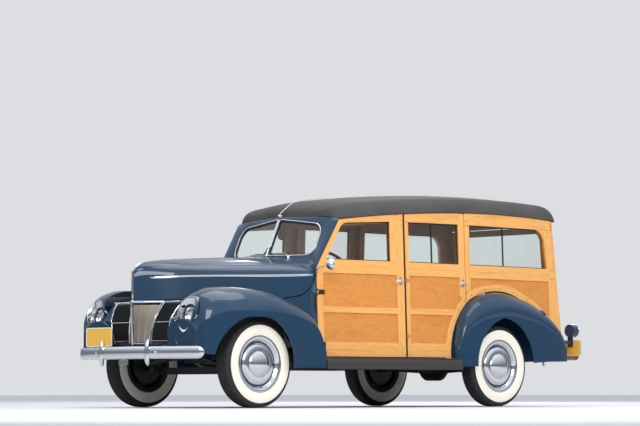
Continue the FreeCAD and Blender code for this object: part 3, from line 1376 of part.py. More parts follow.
front_tip = ahead(mm("front_overhang")) - mm("guard_depth") + 16
rear_tip = behind(-mm("rear_overhang")) + mm("guard_depth") - 16
keep("front_bumper", bumper(front_tip, mm("bumper_bow"), mm("front_bumper_bottom"), 1, rail_front))
keep("rear_bumper", bumper(rear_tip, mm("rear_bumper_bow"), mm("rear_bumper_bottom"), -1, rail_rear))
front_spring = [leaf_pack(ahead(110.0), 470.0, front_spring_low, front_spring_rise)]
rear_spring = [leaf_pack(behind(-250.0), 520.0, rear_spring_low, rear_spring_rise)]
axle_clear = Part.makeCylinder(43.6, 1200.0, Vector(float(rear_axle), -600, height), out)
for sign in (1, -1):
    front_spring.append(box(ahead(flange / 2 + fit), ahead(114.0), sign * 430, sign * 468, 300.0, front_spring_low + 14))
    arm = box(behind(-200.0), behind(-20.0), sign * 492, sign * 518, 332.0, 352.0)
    rear_spring.append(arm.cut(axle_clear))
keep("front_spring", joined(front_spring))
keep("rear_spring", joined(rear_spring))

# Plates, left bare: the front one stands on the bumper, the rear one on the lamp bracket
plate_z = mm("front_bumper_bottom") + mm("bumper_height") + 0.3
front_plate = box(front_tip - 60, front_tip - 56, -526, -526 + mm("plate_length"), plate_z, plate_z + mm("plate_height"))
rear_plate_x = rear_tip + 98
rear_plate = box(rear_plate_x - 4, rear_plate_x, 470, 470 + mm("plate_length"), 462, 462 + mm("plate_height") - 16)
keep("plates", Part.makeCompound([front_plate, rear_plate]))
lamp_at = Vector(rear_plate_x - 40, 700, 690)
tail_lamp = Part.makeCylinder(58.0, 70.0, lamp_at, Vector(1, 0, 0))
stem = box(rear_plate_x - 0.0, rear_plate_x + 8, 660, 720, 540, 690)
post_x = rear_face(570.0)
arm = box(rear_plate_x, post_x - 0.3, 672, 706, 570, 596)
keep("tail_lamp", joined([tail_lamp, stem, arm]))

doc.recompute()
for item in doc.Objects:
    if "Invalid" in item.State or "Error" in item.State:
        raise RuntimeError("step failed: " + item.Name)
for item in nodes:
    if item.Shape.isNull() or not item.Shape.isValid():
        raise RuntimeError("sub-part failed: " + item.Label)
for item in nodes:
    item.Shape.exportStep("parts/" + item.Label + ".step")
    print(item.Label, len(item.Shape.Solids), round(item.Shape.Volume / 1e6, 2))
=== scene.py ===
import json
import math
import random

import bmesh
import bpy
import numpy
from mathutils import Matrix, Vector
from mathutils.bvhtree import BVHTree

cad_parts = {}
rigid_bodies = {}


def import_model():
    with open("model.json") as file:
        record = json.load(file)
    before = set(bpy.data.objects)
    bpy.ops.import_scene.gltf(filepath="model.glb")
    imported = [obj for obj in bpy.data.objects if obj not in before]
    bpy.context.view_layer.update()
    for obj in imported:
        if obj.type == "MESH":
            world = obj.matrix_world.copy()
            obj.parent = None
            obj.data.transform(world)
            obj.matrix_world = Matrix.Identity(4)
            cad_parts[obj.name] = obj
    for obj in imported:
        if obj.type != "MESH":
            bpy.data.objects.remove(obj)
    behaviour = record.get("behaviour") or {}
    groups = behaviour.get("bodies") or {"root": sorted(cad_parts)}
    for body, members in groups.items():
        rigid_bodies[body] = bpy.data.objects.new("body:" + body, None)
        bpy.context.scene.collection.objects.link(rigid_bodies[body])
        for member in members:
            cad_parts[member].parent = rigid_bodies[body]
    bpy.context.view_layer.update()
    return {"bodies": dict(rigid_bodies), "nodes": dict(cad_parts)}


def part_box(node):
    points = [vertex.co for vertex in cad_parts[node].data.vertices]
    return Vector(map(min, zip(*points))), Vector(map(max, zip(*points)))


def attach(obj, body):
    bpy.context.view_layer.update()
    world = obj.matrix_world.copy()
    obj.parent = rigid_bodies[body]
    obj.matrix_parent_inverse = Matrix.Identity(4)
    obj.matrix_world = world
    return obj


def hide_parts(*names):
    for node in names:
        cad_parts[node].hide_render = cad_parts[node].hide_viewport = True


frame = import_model()
nodes = frame["nodes"]
random.seed(7)
print("frame loaded, nodes:", len(nodes))

# Row frame in metres: +X forward, +Y to the car's left, origin at the middle of the length
midShift = 0.19125  # middle of the wheelbase, ahead of the origin
halfBase = 1.4225  # half of the wheelbase
axleHeight = 0.358


# Materials: plain values sit on the shader's own sockets
def newMaterial(name, colour=(0.5, 0.5, 0.5), **sockets):
    material = bpy.data.materials.new(name)
    material.use_nodes = True
    shader = material.node_tree.nodes["Principled BSDF"]
    shader.inputs["Base Color"].default_value = (*colour, 1)
    material.diffuse_color = (*colour, 1)
    for key, value in sockets.items():
        shader.inputs[key.replace("_", " ")].default_value = value
    return material


def nodeIn(material, kind, place=(0, 0), **settings):
    node = material.node_tree.nodes.new(kind)
    node.location = place
    for key, value in settings.items():
        setattr(node, key, value)
    return node


def wire(material, source, target):
    material.node_tree.links.new(source, target)


def stretched(material, source, scale, place=(-900, 0)):
    # coordinates pulled along one way so that a noise reads as grain
    coords = nodeIn(material, "ShaderNodeTexCoord", (place[0] - 200, place[1]))
    mapping = nodeIn(material, "ShaderNodeMapping", place)
    mapping.inputs["Scale"].default_value = scale
    wire(material, coords.outputs[source], mapping.inputs["Vector"])
    return mapping.outputs["Vector"]


def noiseOn(material, vector, scale, detail=4.0, distortion=0.0, place=(-650, 0)):
    noise = nodeIn(material, "ShaderNodeTexNoise", place)
    noise.inputs["Scale"].default_value = scale
    noise.inputs["Detail"].default_value = detail
    noise.inputs["Distortion"].default_value = distortion
    wire(material, vector, noise.inputs["Vector"])
    return noise.outputs["Fac"]


def rampOn(material, factor, stops, place=(-420, 0)):
    ramp = nodeIn(material, "ShaderNodeValToRGB", place)
    elements = ramp.color_ramp.elements
    while len(elements) < len(stops):
        elements.new(0.5)
    for element, (position, colour) in zip(elements, stops):
        element.position = position
        element.color = (*colour, 1)
    wire(material, factor, ramp.inputs["Fac"])
    return ramp.outputs["Color"]


def mixed(material, kind, first, second, amount, place=(-200, 0)):
    mix = nodeIn(material, "ShaderNodeMix", place, data_type="RGBA", blend_type=kind)
    mix.inputs["Factor"].default_value = amount
    wire(material, first, mix.inputs["A"])
    wire(material, second, mix.inputs["B"])
    return mix.outputs["Result"]


def bumpOn(material, height, strength, distance, place=(-200, -300)):
    bump = nodeIn(material, "ShaderNodeBump", place)
    bump.inputs["Strength"].default_value = strength
    bump.inputs["Distance"].default_value = distance
    wire(material, height, bump.inputs["Height"])
    wire(material, bump.outputs["Normal"], material.node_tree.nodes["Principled BSDF"].inputs["Normal"])


def colourFrom(material, colour):
    wire(material, colour, material.node_tree.nodes["Principled BSDF"].inputs["Base Color"])


def woodMaterial(name, source, along, light, dark, pore, gloss):
    # long grain: along is the scale on each axis, smallest where the grain runs
    material = newMaterial(name, light, Roughness=gloss, Coat_Weight=0.35, Coat_Roughness=0.12)
    vector = stretched(material, source, along)
    broad = noiseOn(material, vector, 1.6, 5.0, 0.6, (-650, 150))
    fine = noiseOn(material, vector, 9.0, 3.0, 0.2, (-650, -150))
    between = tuple(0.5 * a + 0.5 * b for a, b in zip(light, dark))
    body = rampOn(material, broad, [(0.30, dark), (0.52, light), (0.72, between)])
    pores = rampOn(material, fine, [(0.36, pore), (0.52, (1, 1, 1))], (-420, -250))
    colourFrom(material, mixed(material, "MULTIPLY", body, pores, 0.55))
    bumpOn(material, fine, 0.12, 0.0006)
    return material


paintBlue = newMaterial("deepBluePaint", (0.011, 0.038, 0.078), Roughness=0.35, Specular_IOR_Level=0.12,
                        Coat_Weight=0.75, Coat_Roughness=0.02)
mapleFrame = woodMaterial("mapleFrame", "UV", (1.0, 16.0, 1.0), (0.79, 0.405, 0.118), (0.70, 0.325, 0.082),
                          (0.80, 0.68, 0.55), 0.38)
mahogany = (0.63, 0.250, 0.047), (0.55, 0.200, 0.034), (0.86, 0.76, 0.66), 0.40
panelWood = woodMaterial("mahoganyPanel", "Object", (2.6, 9.0, 9.0), *mahogany)
panelAcross = woodMaterial("mahoganyPanelAcross", "Object", (9.0, 2.6, 9.0), *mahogany)
floorWood = woodMaterial("floorBoards", "Object", (1.0, 14.0, 1.0), (0.20, 0.105, 0.05), (0.12, 0.06, 0.028),
                         (0.6, 0.5, 0.4), 0.6)
chrome = newMaterial("chromePlate", (0.80, 0.81, 0.83), Metallic=1.0, Roughness=0.07)
satinBright = newMaterial("grilleBrightwork", (0.66, 0.58, 0.47), Metallic=1.0, Roughness=0.38)
windowGlass = newMaterial("clearGlass", (0.93, 0.97, 0.95), Roughness=0.0, IOR=1.45, Transmission_Weight=1.0)
lampGlass = newMaterial("lampGlass", (0.97, 0.98, 1.0), Roughness=0.02, IOR=1.5, Transmission_Weight=1.0)
redGlass = newMaterial("redLens", (0.55, 0.012, 0.01), Roughness=0.12, Coat_Weight=0.8)
blackSteel = newMaterial("chassisBlack", (0.014, 0.014, 0.015), Roughness=0.5)
reflectorSilver = newMaterial("reflectorSilver", (0.78, 0.78, 0.77), Metallic=1.0, Roughness=0.22)
castIron = newMaterial("castIron", (0.06, 0.065, 0.07), Metallic=0.6, Roughness=0.6)
blackRubber = newMaterial("blackRubber", (0.012, 0.012, 0.012), Roughness=0.6)
tyreRubber = newMaterial("tyreRubber", (0.016, 0.016, 0.017), Roughness=0.75)
creamWall = newMaterial("creamSideWall", (0.80, 0.755, 0.66), Roughness=0.55)
boardRubber = newMaterial("boardRubber", (0.035, 0.030, 0.029), Roughness=0.65)
dashPaint = newMaterial("dashPaint", (0.10, 0.045, 0.022), Roughness=0.35, Coat_Weight=0.5)
dialFace = newMaterial("dialFace", (0.62, 0.56, 0.42), Roughness=0.45)
wheelPlastic = newMaterial("steeringPlastic", (0.045, 0.024, 0.014), Roughness=0.28, Coat_Weight=0.5)
seatLeather = newMaterial("seatLeather", (0.19, 0.058, 0.030), Roughness=0.5)
# near black: the seal between the doors, and the sheets of painted shade behind the grilles
blackSealAndShade = newMaterial("sealAndShadeBlack", (0.006, 0.006, 0.006), Roughness=0.9)
plateYellow = newMaterial("plateYellow", (0.80, 0.45, 0.055), Roughness=0.4)
plateBorder = newMaterial("plateBorder", (0.72, 0.66, 0.50), Roughness=0.4)
roofFabric = newMaterial("roofFabric", (0.062, 0.058, 0.055), Roughness=0.82)
weave = stretched(roofFabric, "Object", (420.0, 420.0, 420.0))
bumpOn(roofFabric, noiseOn(roofFabric, weave, 1.0, 2.0), 0.35, 0.0008)
fading = stretched(roofFabric, "Object", (3.0, 3.0, 3.0), (-900, 300))
clouds = rampOn(roofFabric, noiseOn(roofFabric, fading, 1.0, 4.0, 0.0, (-650, 300)),
                [(0.3, (0.050, 0.047, 0.045)), (0.7, (0.075, 0.070, 0.066))], (-420, 300))
colourFrom(roofFabric, clouds)
leatherGrain = stretched(seatLeather, "Object", (160.0, 160.0, 160.0))
bumpOn(seatLeather, noiseOn(seatLeather, leatherGrain, 1.0, 3.0), 0.25, 0.0008)
dusty = stretched(tyreRubber, "Object", (30.0, 30.0, 30.0))
treadDust = rampOn(tyreRubber, noiseOn(tyreRubber, dusty, 1.0, 4.0),
                   [(0.35, (0.014, 0.014, 0.015)), (0.75, (0.026, 0.025, 0.024))])
colourFrom(tyreRubber, treadDust)
print("materials made:", len(bpy.data.materials))


# Meshes
def smoothByAngle(mesh, degrees=35.0):
    mesh.polygons.foreach_set("use_smooth", [True] * len(mesh.polygons))
    mesh.set_sharp_from_angle(angle=math.radians(degrees))


def placed(name, data):
    thing = bpy.data.objects.new(name, data)
    bpy.context.scene.collection.objects.link(thing)
    return thing


def newPiece(name, points, faces, materials, body, uvs, faceSlots, sharp):
    mesh = bpy.data.meshes.new(name)
    mesh.from_pydata([tuple(p) for p in points], [], faces)
    if uvs:
        layer = mesh.uv_layers.new(name="grain")
        for polygon in mesh.polygons:
            for loop in polygon.loop_indices:
                layer.data[loop].uv = uvs[mesh.loops[loop].vertex_index]
    for material in materials:
        mesh.materials.append(material)
    mesh.polygons.foreach_set("material_index", faceSlots)
    mesh.validate()
    smoothByAngle(mesh, sharp)
    piece = placed(name, mesh)
    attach(piece, body)
    return piece


def roundEdges(piece, width, segments=2, degrees=40.0):
    bevel = piece.modifiers.new("roundedEdges", "BEVEL")
    bevel.width = width
    bevel.segments = segments
    bevel.limit_method = "ANGLE"
    bevel.angle_limit = math.radians(degrees)
    bevel.harden_normals = False
    return piece


def pieceFrom(name, parts, materials, body="car", sharp=35.0):
    # several (points, faces, uvs, slot) groups as one mesh
    points, faces, uvs, slots = [], [], [], []
    for partPoints, partFaces, partUvs, slot in parts:
        base = len(points)
        points += partPoints
        faces += [tuple(base + index for index in face) for face in partFaces]
        uvs += partUvs if partUvs else [(p[0], p[2]) for p in partPoints]
        slots += [slot] * len(partFaces)
    return newPiece(name, points, faces, materials, body, uvs, slots, sharp)


def acrossCar(parts):
    # the same groups on the right side, turned the right way out
    return [([(x, -y, z) for x, y, z in points], backward(faces), uvs, slot)
            for points, faces, uvs, slot in parts]


def bothSides(name, parts, materials, body="car", bevel=0.0, sharp=35.0):
    # body names that differ per side end in _left and _right
    made = []
    for side, groups in (("left", parts), ("right", acrossCar(parts))):
        rides = body if body in frame["bodies"] else body + "_" + side
        piece = pieceFrom(name + side.capitalize(), groups, materials, rides, sharp)
        if bevel:
            roundEdges(piece, bevel)
        made.append(piece)
    return made


def gridFaces(rows, columns, closedRows=False, closedColumns=False):
    faces = []
    for r in range(rows if closedRows else rows - 1):
        for c in range(columns if closedColumns else columns - 1):
            r2, c2 = (r + 1) % rows, (c + 1) % columns
            faces.append((r * columns + c, r * columns + c2, r2 * columns + c2, r2 * columns + c))
    return faces


def backward(faces):
    return [tuple(reversed(face)) for face in faces]


def facing(points, faces, way, index=0):
    # the faces turned so that the one at index looks along the way
    p, q, r = [Vector(points[i]) for i in faces[index][:3]]
    return backward(faces) if (q - p).cross(r - q).dot(way) < 0 else faces


def barFaces(rows, around, closed=False):
    # faces of a bar from ring to ring, with its ends
    faces = backward(gridFaces(rows, around, closed, True))
    if not closed:
        faces += [tuple(range(around)), tuple(reversed(range((rows - 1) * around, rows * around)))]
    return faces


def powerOf(value, exponent):
    return math.copysign(abs(value) ** exponent, value)


def arcThrough(p, q, r, count):
    # points on the circle through three points, from p over q to r
    ax, az, bx, bz = q[0] - p[0], q[1] - p[1], r[0] - p[0], r[1] - p[1]
    span = 2 * (ax * bz - az * bx)
    cx = p[0] + (bz * (ax ** 2 + az ** 2) - az * (bx ** 2 + bz ** 2)) / span
    cz = p[1] + (ax * (bx ** 2 + bz ** 2) - bx * (ax ** 2 + az ** 2)) / span
    radius = math.hypot(p[0] - cx, p[1] - cz)
    start, through, end = [math.atan2(s[1] - cz, s[0] - cx) for s in (p, q, r)]
    turn = (end - start) % (2 * math.pi)
    if (through - start) % (2 * math.pi) > turn:
        turn -= 2 * math.pi
    angles = [start + turn * i / (count - 1) for i in range(count)]
    return [(cx + radius * math.cos(a), cz + radius * math.sin(a)) for a in angles]


def alongLine(p, q, count):
    return [tuple(a + (b - a) * i / (count - 1) for a, b in zip(p, q)) for i in range(count)]


def spread(a, b, count):
    return [a + (b - a) * i / (count - 1) for i in range(count)]


def circle(count):
    return [2 * math.pi * k / count for k in range(count)]


def ringRound(centre, side, other, radius, around):
    return [tuple(centre + side * radius * math.cos(a) + other * radius * math.sin(a)) for a in circle(around)]


def evenPoints(points, step):
    # a polyline resampled at an even step
    path = [Vector(p) for p in points]
    lengths = [0.0]
    for a, b in zip(path, path[1:]):
        lengths.append(lengths[-1] + (b - a).length)
    count = max(2, int(round(lengths[-1] / step)) + 1)
    result, segment = [], 0
    for index in range(count):
        target = lengths[-1] * index / (count - 1)
        while segment < len(path) - 2 and lengths[segment + 1] < target:
            segment += 1
        span = lengths[segment + 1] - lengths[segment]
        t = (target - lengths[segment]) / span if span > 0 else 0.0
        result.append(path[segment].lerp(path[segment + 1], t))
    return result


def softCurve(points, count):
    # smooth curve through the points
    path = [Vector(p) for p in points]
    path = [path[0] * 2 - path[1]] + path + [path[-1] * 2 - path[-2]]
    result = []
    spans = len(path) - 3
    for index in range(count):
        place = min(index / (count - 1) * spans, spans - 1e-9)
        s = int(place)
        t = place - s
        a, b, c, d = path[s:s + 4]
        result.append(0.5 * (2 * b + (c - a) * t + (2 * a - 5 * b + 4 * c - d) * t ** 2
                             + (3 * b - a - 3 * c + d) * t ** 3))
    return result


# Finding the surface of the solids, to lay trim on it
treeOf = {}
farthest = 6.0  # metres that a ray looks ahead


def hitOn(names, start, direction):
    # first surface of the named nodes met from start: point and outward normal
    best, way = None, Vector(direction).normalized()
    for name in names:
        if name not in treeOf:
            mesh = nodes[name].data
            treeOf[name] = BVHTree.FromPolygons([v.co for v in mesh.vertices], [p.vertices for p in mesh.polygons])
        point, normal, face, distance = treeOf[name].ray_cast(Vector(start), way, farthest)
        if point is not None and (best is None or distance < best[2]):
            best = (point, -normal if normal.dot(way) > 0 else normal, distance)
    return best


def strip(laid, width, rise, sink=0.002, taper=0.0):
    # rounded strip along laid points, its back let in to the surface
    points, arcs, count = [], 6, len(laid)
    for index, (point, normal) in enumerate(laid):
        before, after = laid[max(index - 1, 0)][0], laid[min(index + 1, count - 1)][0]
        along = (after - before).normalized()
        side = normal.cross(along).normalized()
        up = along.cross(side).normalized()
        share = 1.0
        if taper:
            edge = min(index, count - 1 - index) / (count - 1) / taper
            share = math.sqrt(min(1.0, 0.05 + edge))
        half = width / 2 * share
        points.append(point - side * half - up * sink)
        for k in range(arcs + 1):
            a = math.pi * k / arcs
            points.append(point - side * half * math.cos(a) + up * rise * share * math.sin(a) ** 0.8)
        points.append(point + side * half - up * sink)
    return points, barFaces(count, arcs + 3), None, 0


def tube(path, radius, around, closed=False):
    # round bar along a path
    points, rings = [Vector(p) for p in path], []
    count = len(points)
    first = (points[1] - points[0]).normalized()
    side = first.cross(Vector((0, 0, 1) if abs(first.z) < 0.95 else (1, 0, 0))).normalized()
    for index, point in enumerate(points):
        before = points[index - 1] if (index or closed) else point
        after = points[(index + 1) % count] if (index < count - 1 or closed) else point
        along = (after - before).normalized()
        side = (side - along * side.dot(along)).normalized()
        other = along.cross(side)
        here = radius[index] if isinstance(radius, list) else radius
        rings += ringRound(point, side, other, here, around)
    return rings, barFaces(count, around, closed), None, 0


def lathe(centre, axis, profile, around, slots=None):
    # profile rows are (radius, distance along the axis); it closes on the axis by itself
    way = Vector(axis).normalized()
    helper = Vector((0, 0, 1)) if abs(way.z) < 0.9 else Vector((1, 0, 0))
    side = way.cross(helper).normalized()
    other = way.cross(side)
    points, faces, faceSlots, rings = [], [], [], []
    for radius, along in profile:
        base = Vector(centre) + way * along
        if radius < 1e-6:
            rings.append([len(points)])
            points.append(tuple(base))
            continue
        rings.append(list(range(len(points), len(points) + around)))
        points += ringRound(base, side, other, radius, around)
    for row, (low, high) in enumerate(zip(rings, rings[1:])):
        for k in range(around):
            k2 = (k + 1) % around
            if len(low) == 1:
                faces.append((low[0], high[k2], high[k]))
            elif len(high) == 1:
                faces.append((low[k], low[k2], high[0]))
            else:
                faces.append((low[k], low[k2], high[k2], high[k]))
            faceSlots.append(slots[row] if slots else 0)
    return points, faces, faceSlots


def turned(centre, axis, profile, around, slot=0):
    # profile from the tip back to the foot
    points, faces, faceSlots = lathe(centre, axis, profile[::-1], around)
    return points, faces, None, slot


def hoop(centre, radius, bar, count, around):
    # ring of round bar that faces along the car
    path = [centre + Vector((0, math.cos(a) * radius, math.sin(a) * radius)) for a in circle(count)]
    return tube(path, bar, around, closed=True)


def block(low, high):
    (x1, y1, z1), (x2, y2, z2) = low, high
    points = [(x, y, z) for x in (x1, x2) for y in (y1, y2) for z in (z1, z2)]
    faces = [(0, 1, 3, 2), (4, 6, 7, 5), (0, 4, 5, 1), (2, 3, 7, 6), (0, 2, 6, 4), (1, 5, 7, 3)]
    return points, faces, None, 0


def withSlot(part, slot):
    return part[0], part[1], part[2], slot


# Timber body: flat stock laid on the curved side
bodyForm = {"halfWidth": 0.745, "sill": 0.426, "lean": 0.036, "planRadius": 17.2, "apexX": -1.1005 + midShift}
planCentre = bodyForm["halfWidth"] - bodyForm["planRadius"]


def bodySkin(x, z):
    # half width of the side's outer face; x in the row frame
    reach = bodyForm["halfWidth"] - bodyForm["lean"] * (z - bodyForm["sill"]) - planCentre
    return planCentre + math.sqrt(reach ** 2 - (x - bodyForm["apexX"]) ** 2)


def sidePoint(x, z, out):
    # x from the middle of the wheelbase
    outward = Vector((0.0, 1.0, bodyForm["lean"])).normalized()
    return Vector((x + midShift, bodySkin(x + midShift, z), z)) + outward * out


tailForm = {"x": -2.4205, "z": 0.426, "lean": 0.094}


def tailX(z):
    return tailForm["x"] + tailForm["lean"] * (z - tailForm["z"])


def tailPoint(y, z, out):
    outward = Vector((-1.0, 0.0, tailForm["lean"])).normalized()
    return Vector((tailX(z) + midShift, y, z)) + outward * out


edgeArc = arcThrough((0.3755, 1.600), (-0.9005, 1.706), (-2.3005, 1.697), 121)


def roofEdge(x):
    # height of the roof's lower edge at a station from the middle of the wheelbase
    pairs = list(zip(edgeArc, edgeArc[1:]))
    beyond = pairs[0] if x > edgeArc[0][0] else pairs[-1]
    (x1, z1), (x2, z2) = next((pair for pair in pairs if pair[1][0] <= x <= pair[0][0]), beyond)
    return z1 + (z2 - z1) * (x - x1) / (x2 - x1)


# grain: each plank's own start on it, the share of that across the grain, the underside's step
plankForm = {"depth": 0.0095, "grow": 0.0004, "starts": 40, "aside": 0.37, "under": 0.3}


def plank(edgeA, edgeB, at=sidePoint, proud=0.0015, across=3):
    # a length of stock between two edges given in the face's own plane; the grain runs along the edges
    count = len(edgeA)
    seed = random.random() * plankForm["starts"]
    points, uvs = [], []
    middle = [((a[0] + b[0]) / 2, (a[1] + b[1]) / 2) for a, b in zip(edgeA, edgeB)]
    for layer in (proud, -plankForm["depth"]):
        run = 0.0
        for row in range(count):
            if row:
                run += math.dist(middle[row], middle[row - 1])
            width = math.dist(edgeA[row], edgeB[row])
            for column in range(across + 1):
                t = column / across
                t = t + (t - 0.5) * 2 * plankForm["grow"] / max(width, 1e-4)
                u = edgeA[row][0] + (edgeB[row][0] - edgeA[row][0]) * t
                v = edgeA[row][1] + (edgeB[row][1] - edgeA[row][1]) * t
                points.append(tuple(at(u, v, layer)))
                aside = seed * plankForm["aside"] + (plankForm["under"] if layer < 0 else 0.0)
                uvs.append((run + seed, width * t + aside))
    columns = across + 1
    size = count * columns
    top = gridFaces(count, columns)
    faces = top + [tuple(size + i for i in reversed(face)) for face in top]
    # the two long sides, then the two ends
    walls = []
    for row in range(count - 1):
        a, b = row * columns, (row + 1) * columns
        walls += [(a, b), (b + across, a + across)]
    for column in range(across):
        last = (count - 1) * columns + column
        walls += [(column + 1, column), (last, last + 1)]
    faces += [(a, b, size + b, size + a) for a, b in walls]
    return points, facing(points, faces, at(*middle[0], 1.0) - at(*middle[0], 0.0)), uvs, 0


def rail(x1, x2, z1, z2, **more):
    count = max(2, int(abs(x2 - x1) / 0.08) + 1)
    return plank(alongLine((x1, z1), (x2, z1), count), alongLine((x1, z2), (x2, z2), count), **more)


def stile(x1, x2, z1, z2, **more):
    count = max(2, int(abs(z2 - z1) / 0.12) + 1)
    return plank(alongLine((x1, z1), (x1, z2), count), alongLine((x2, z1), (x2, z2), count), **more)


d = {
    "frontEdge": 0.6405, "split": -0.3295, "rearFront": -0.3535, "rearEdge": -1.0805, "bottom": 0.430,
    "slopeTop": 0.3855, "topGap": 0.007, "beltLow": 1.135, "beltHigh": 1.250, "midLow": 0.800, "midHigh": 0.850,
    "railTop": 0.550, "slantFoot": 1.180, "lowJoint": 0.490, "beltJoint": 1.192,
}
seam = 0.0009  # half of the hairline between two lengths of stock
stockRound = 0.0016  # the worn edge of the stock
railRows = [(d["bottom"], d["lowJoint"] - seam), (d["lowJoint"] + seam, d["railTop"]), (d["midLow"], d["midHigh"]),
            (d["beltLow"], d["beltJoint"] - seam), (d["beltJoint"] + seam, d["beltHigh"])]


def roofStep(x1, x2, drop, count):
    return [(x, roofEdge(x) - drop) for x in spread(x1, x2, count)]


# Front door: slanted leading stile, rails between the stiles, a wide two-piece rear stile
topOuter = d["slopeTop"], roofEdge(d["slopeTop"]) - d["topGap"]
slantOuter = alongLine((d["frontEdge"], d["slantFoot"]), topOuter, 9)
slantInner = alongLine((0.5385, d["beltHigh"]), (0.3555, 1.565), 9)
innerX = d["frontEdge"] - 0.062
stileJoint, stileRear, postRear = d["split"] + 0.046, d["split"] + 0.084, d["split"] + 0.152
frontDoorParts = [rail(stileRear + seam, innerX - seam, *row) for row in railRows] + [
    stile(d["split"], stileJoint - seam, d["bottom"], roofEdge(d["split"]) - d["topGap"]),
    stile(stileJoint + seam, stileRear, d["bottom"], d["beltHigh"] - seam),
    stile(stileJoint + seam, postRear, d["beltHigh"] + seam, roofEdge(-0.22) - d["topGap"] - 0.002),
    stile(innerX, d["frontEdge"], d["bottom"], d["slantFoot"]),
    plank([(innerX, d["slantFoot"])] + slantInner, [(d["frontEdge"], d["slantFoot"])] + slantOuter),
    plank(roofStep(-0.1775 + seam, d["slopeTop"], d["topGap"], 12),
          alongLine((-0.1775 + seam, 1.595), (0.3555, 1.565), 12)),
]

# Rear wheel arch in the timber, x from the rear axle
archTable = [(0.478, 0.722, 0.288, 0.938), (-0.030, 1.019, -0.424, 0.937), (-0.732, 0.766, -0.894, 0.575)]
archCentre = (-halfBase - 0.140, 0.300)


def archPath(growth, step):
    def pushed(x, z):
        dx, dz = x - halfBase - archCentre[0], z - archCentre[1]
        reach = math.hypot(dx, dz)
        return archCentre[0] + dx * (1 + growth / reach), archCentre[1] + dz * (1 + growth / reach)

    here = (0.538 - halfBase + growth, 0.400)
    path = [here]
    for mx, mz, ex, ez in archTable:
        path += arcThrough(here, pushed(mx, mz), pushed(ex, ez), step)[1:]
        here = pushed(ex, ez)
    return path


def archBetween(low, high, growth, count):
    # the stretch of the grown arch between two stations, evenly spaced
    inside = [p for p in archPath(growth, 60) if low <= p[0] <= high]
    even = evenPoints([(x, z, 0) for x, z in inside], 0.001)
    return [even[int(i * (len(even) - 1) / (count - 1))][:2] for i in range(count)]


archBand = 0.060
archOnDoor = [archBetween(d["rearEdge"], -0.80, growth, 16) for growth in (0.009, 0.009 + archBand)]
archOnQuarter = [archBetween(-2.60, -1.0885, growth, 40) for growth in (0.006, 0.009 + archBand)]


def archStation(z, way=1):
    # station of the band's outer edge at a height, ahead of the wheel or behind it
    path = archPath(0.009 + archBand, 40)[::way]
    for (x1, z1), (x2, z2) in zip(path, path[1:]):
        if z1 <= z <= z2:
            return x1 + (x2 - x1) * (z - z1) / (z2 - z1)
    return path[0][0]


# Rear door
doorRail, doorPost = d["rearFront"] - 0.040, d["rearEdge"] + 0.072
rearStarts = [archStation(0.46), archStation(0.52), archStation(0.825), doorPost, doorPost]
rearDoorParts = [rail(x + seam, doorRail - seam, *row) for x, row in zip(rearStarts, railRows)] + [
    stile(doorRail, d["rearFront"], d["bottom"], roofEdge(d["rearFront"]) - d["topGap"] - 0.001),
    stile(d["rearEdge"], doorPost, 0.965, roofEdge(d["rearEdge"] + 0.03) - d["topGap"] - 0.002),
    plank(roofStep(doorPost + seam, doorRail - seam, d["topGap"], 10),
          alongLine((doorPost + seam, 1.605), (doorRail - seam, 1.600), 10)),
    plank(*archOnDoor, proud=0.003),
]

# Quarter: post, rails, corner post and the band over the wheel
quarterFront, quarterRear = -1.0885, -2.2305
quarterPost = quarterFront - 0.062
cornerHeights = (0.575, 1.135, 1.250, 1.480, 1.600)
quarterParts = [
    stile(quarterPost, quarterFront, 1.012, roofEdge(quarterFront) - 0.003),
    rail(quarterRear + seam, quarterPost - seam, *railRows[3]),
    rail(quarterRear + 0.010 + seam, quarterPost - seam, *railRows[4]),
    rail(quarterRear + seam, archStation(0.61, -1) - 0.004, 0.592 + seam, 0.640),
    rail(-2.3305, -2.2985, 0.500, 0.592 - seam),
    plank(roofStep(-2.275, quarterPost - seam, 0.003, 24),
          alongLine((-2.275, 1.605), (quarterPost - seam, 1.605), 24)),
    plank(list(zip((quarterRear, quarterRear, -2.2205, -2.190, -2.170), cornerHeights)),
          [(tailX(z), z) for z in cornerHeights]),
    plank(*archOnQuarter, proud=0.003),
]
bothSides("frontDoorTimber", frontDoorParts, [mapleFrame], "front_door", stockRound)
bothSides("rearDoorTimber", rearDoorParts, [mapleFrame], "rear_door", stockRound)
bothSides("quarterTimber", quarterParts, [mapleFrame], "car", stockRound)


# Tail: the same stock on the leaning rear face
def tailStock(corners, ends, count):
    (y1, z1), (y2, z2), (y3, z3), (y4, z4) = *corners, *ends
    return plank(alongLine((y1, z1), (y2, z2), count), alongLine((y3, z3), (y4, z4), count), at=tailPoint, across=2)


def tailRail(half, z1, z2):
    return tailStock([(-half, z1), (half, z1)], [(-half, z2), (half, z2)], 10)


def tailStile(y1, y2, z1, z2):
    return tailStock([(y1, z1), (y1, z2)], [(y2, z1), (y2, z2)], 8)


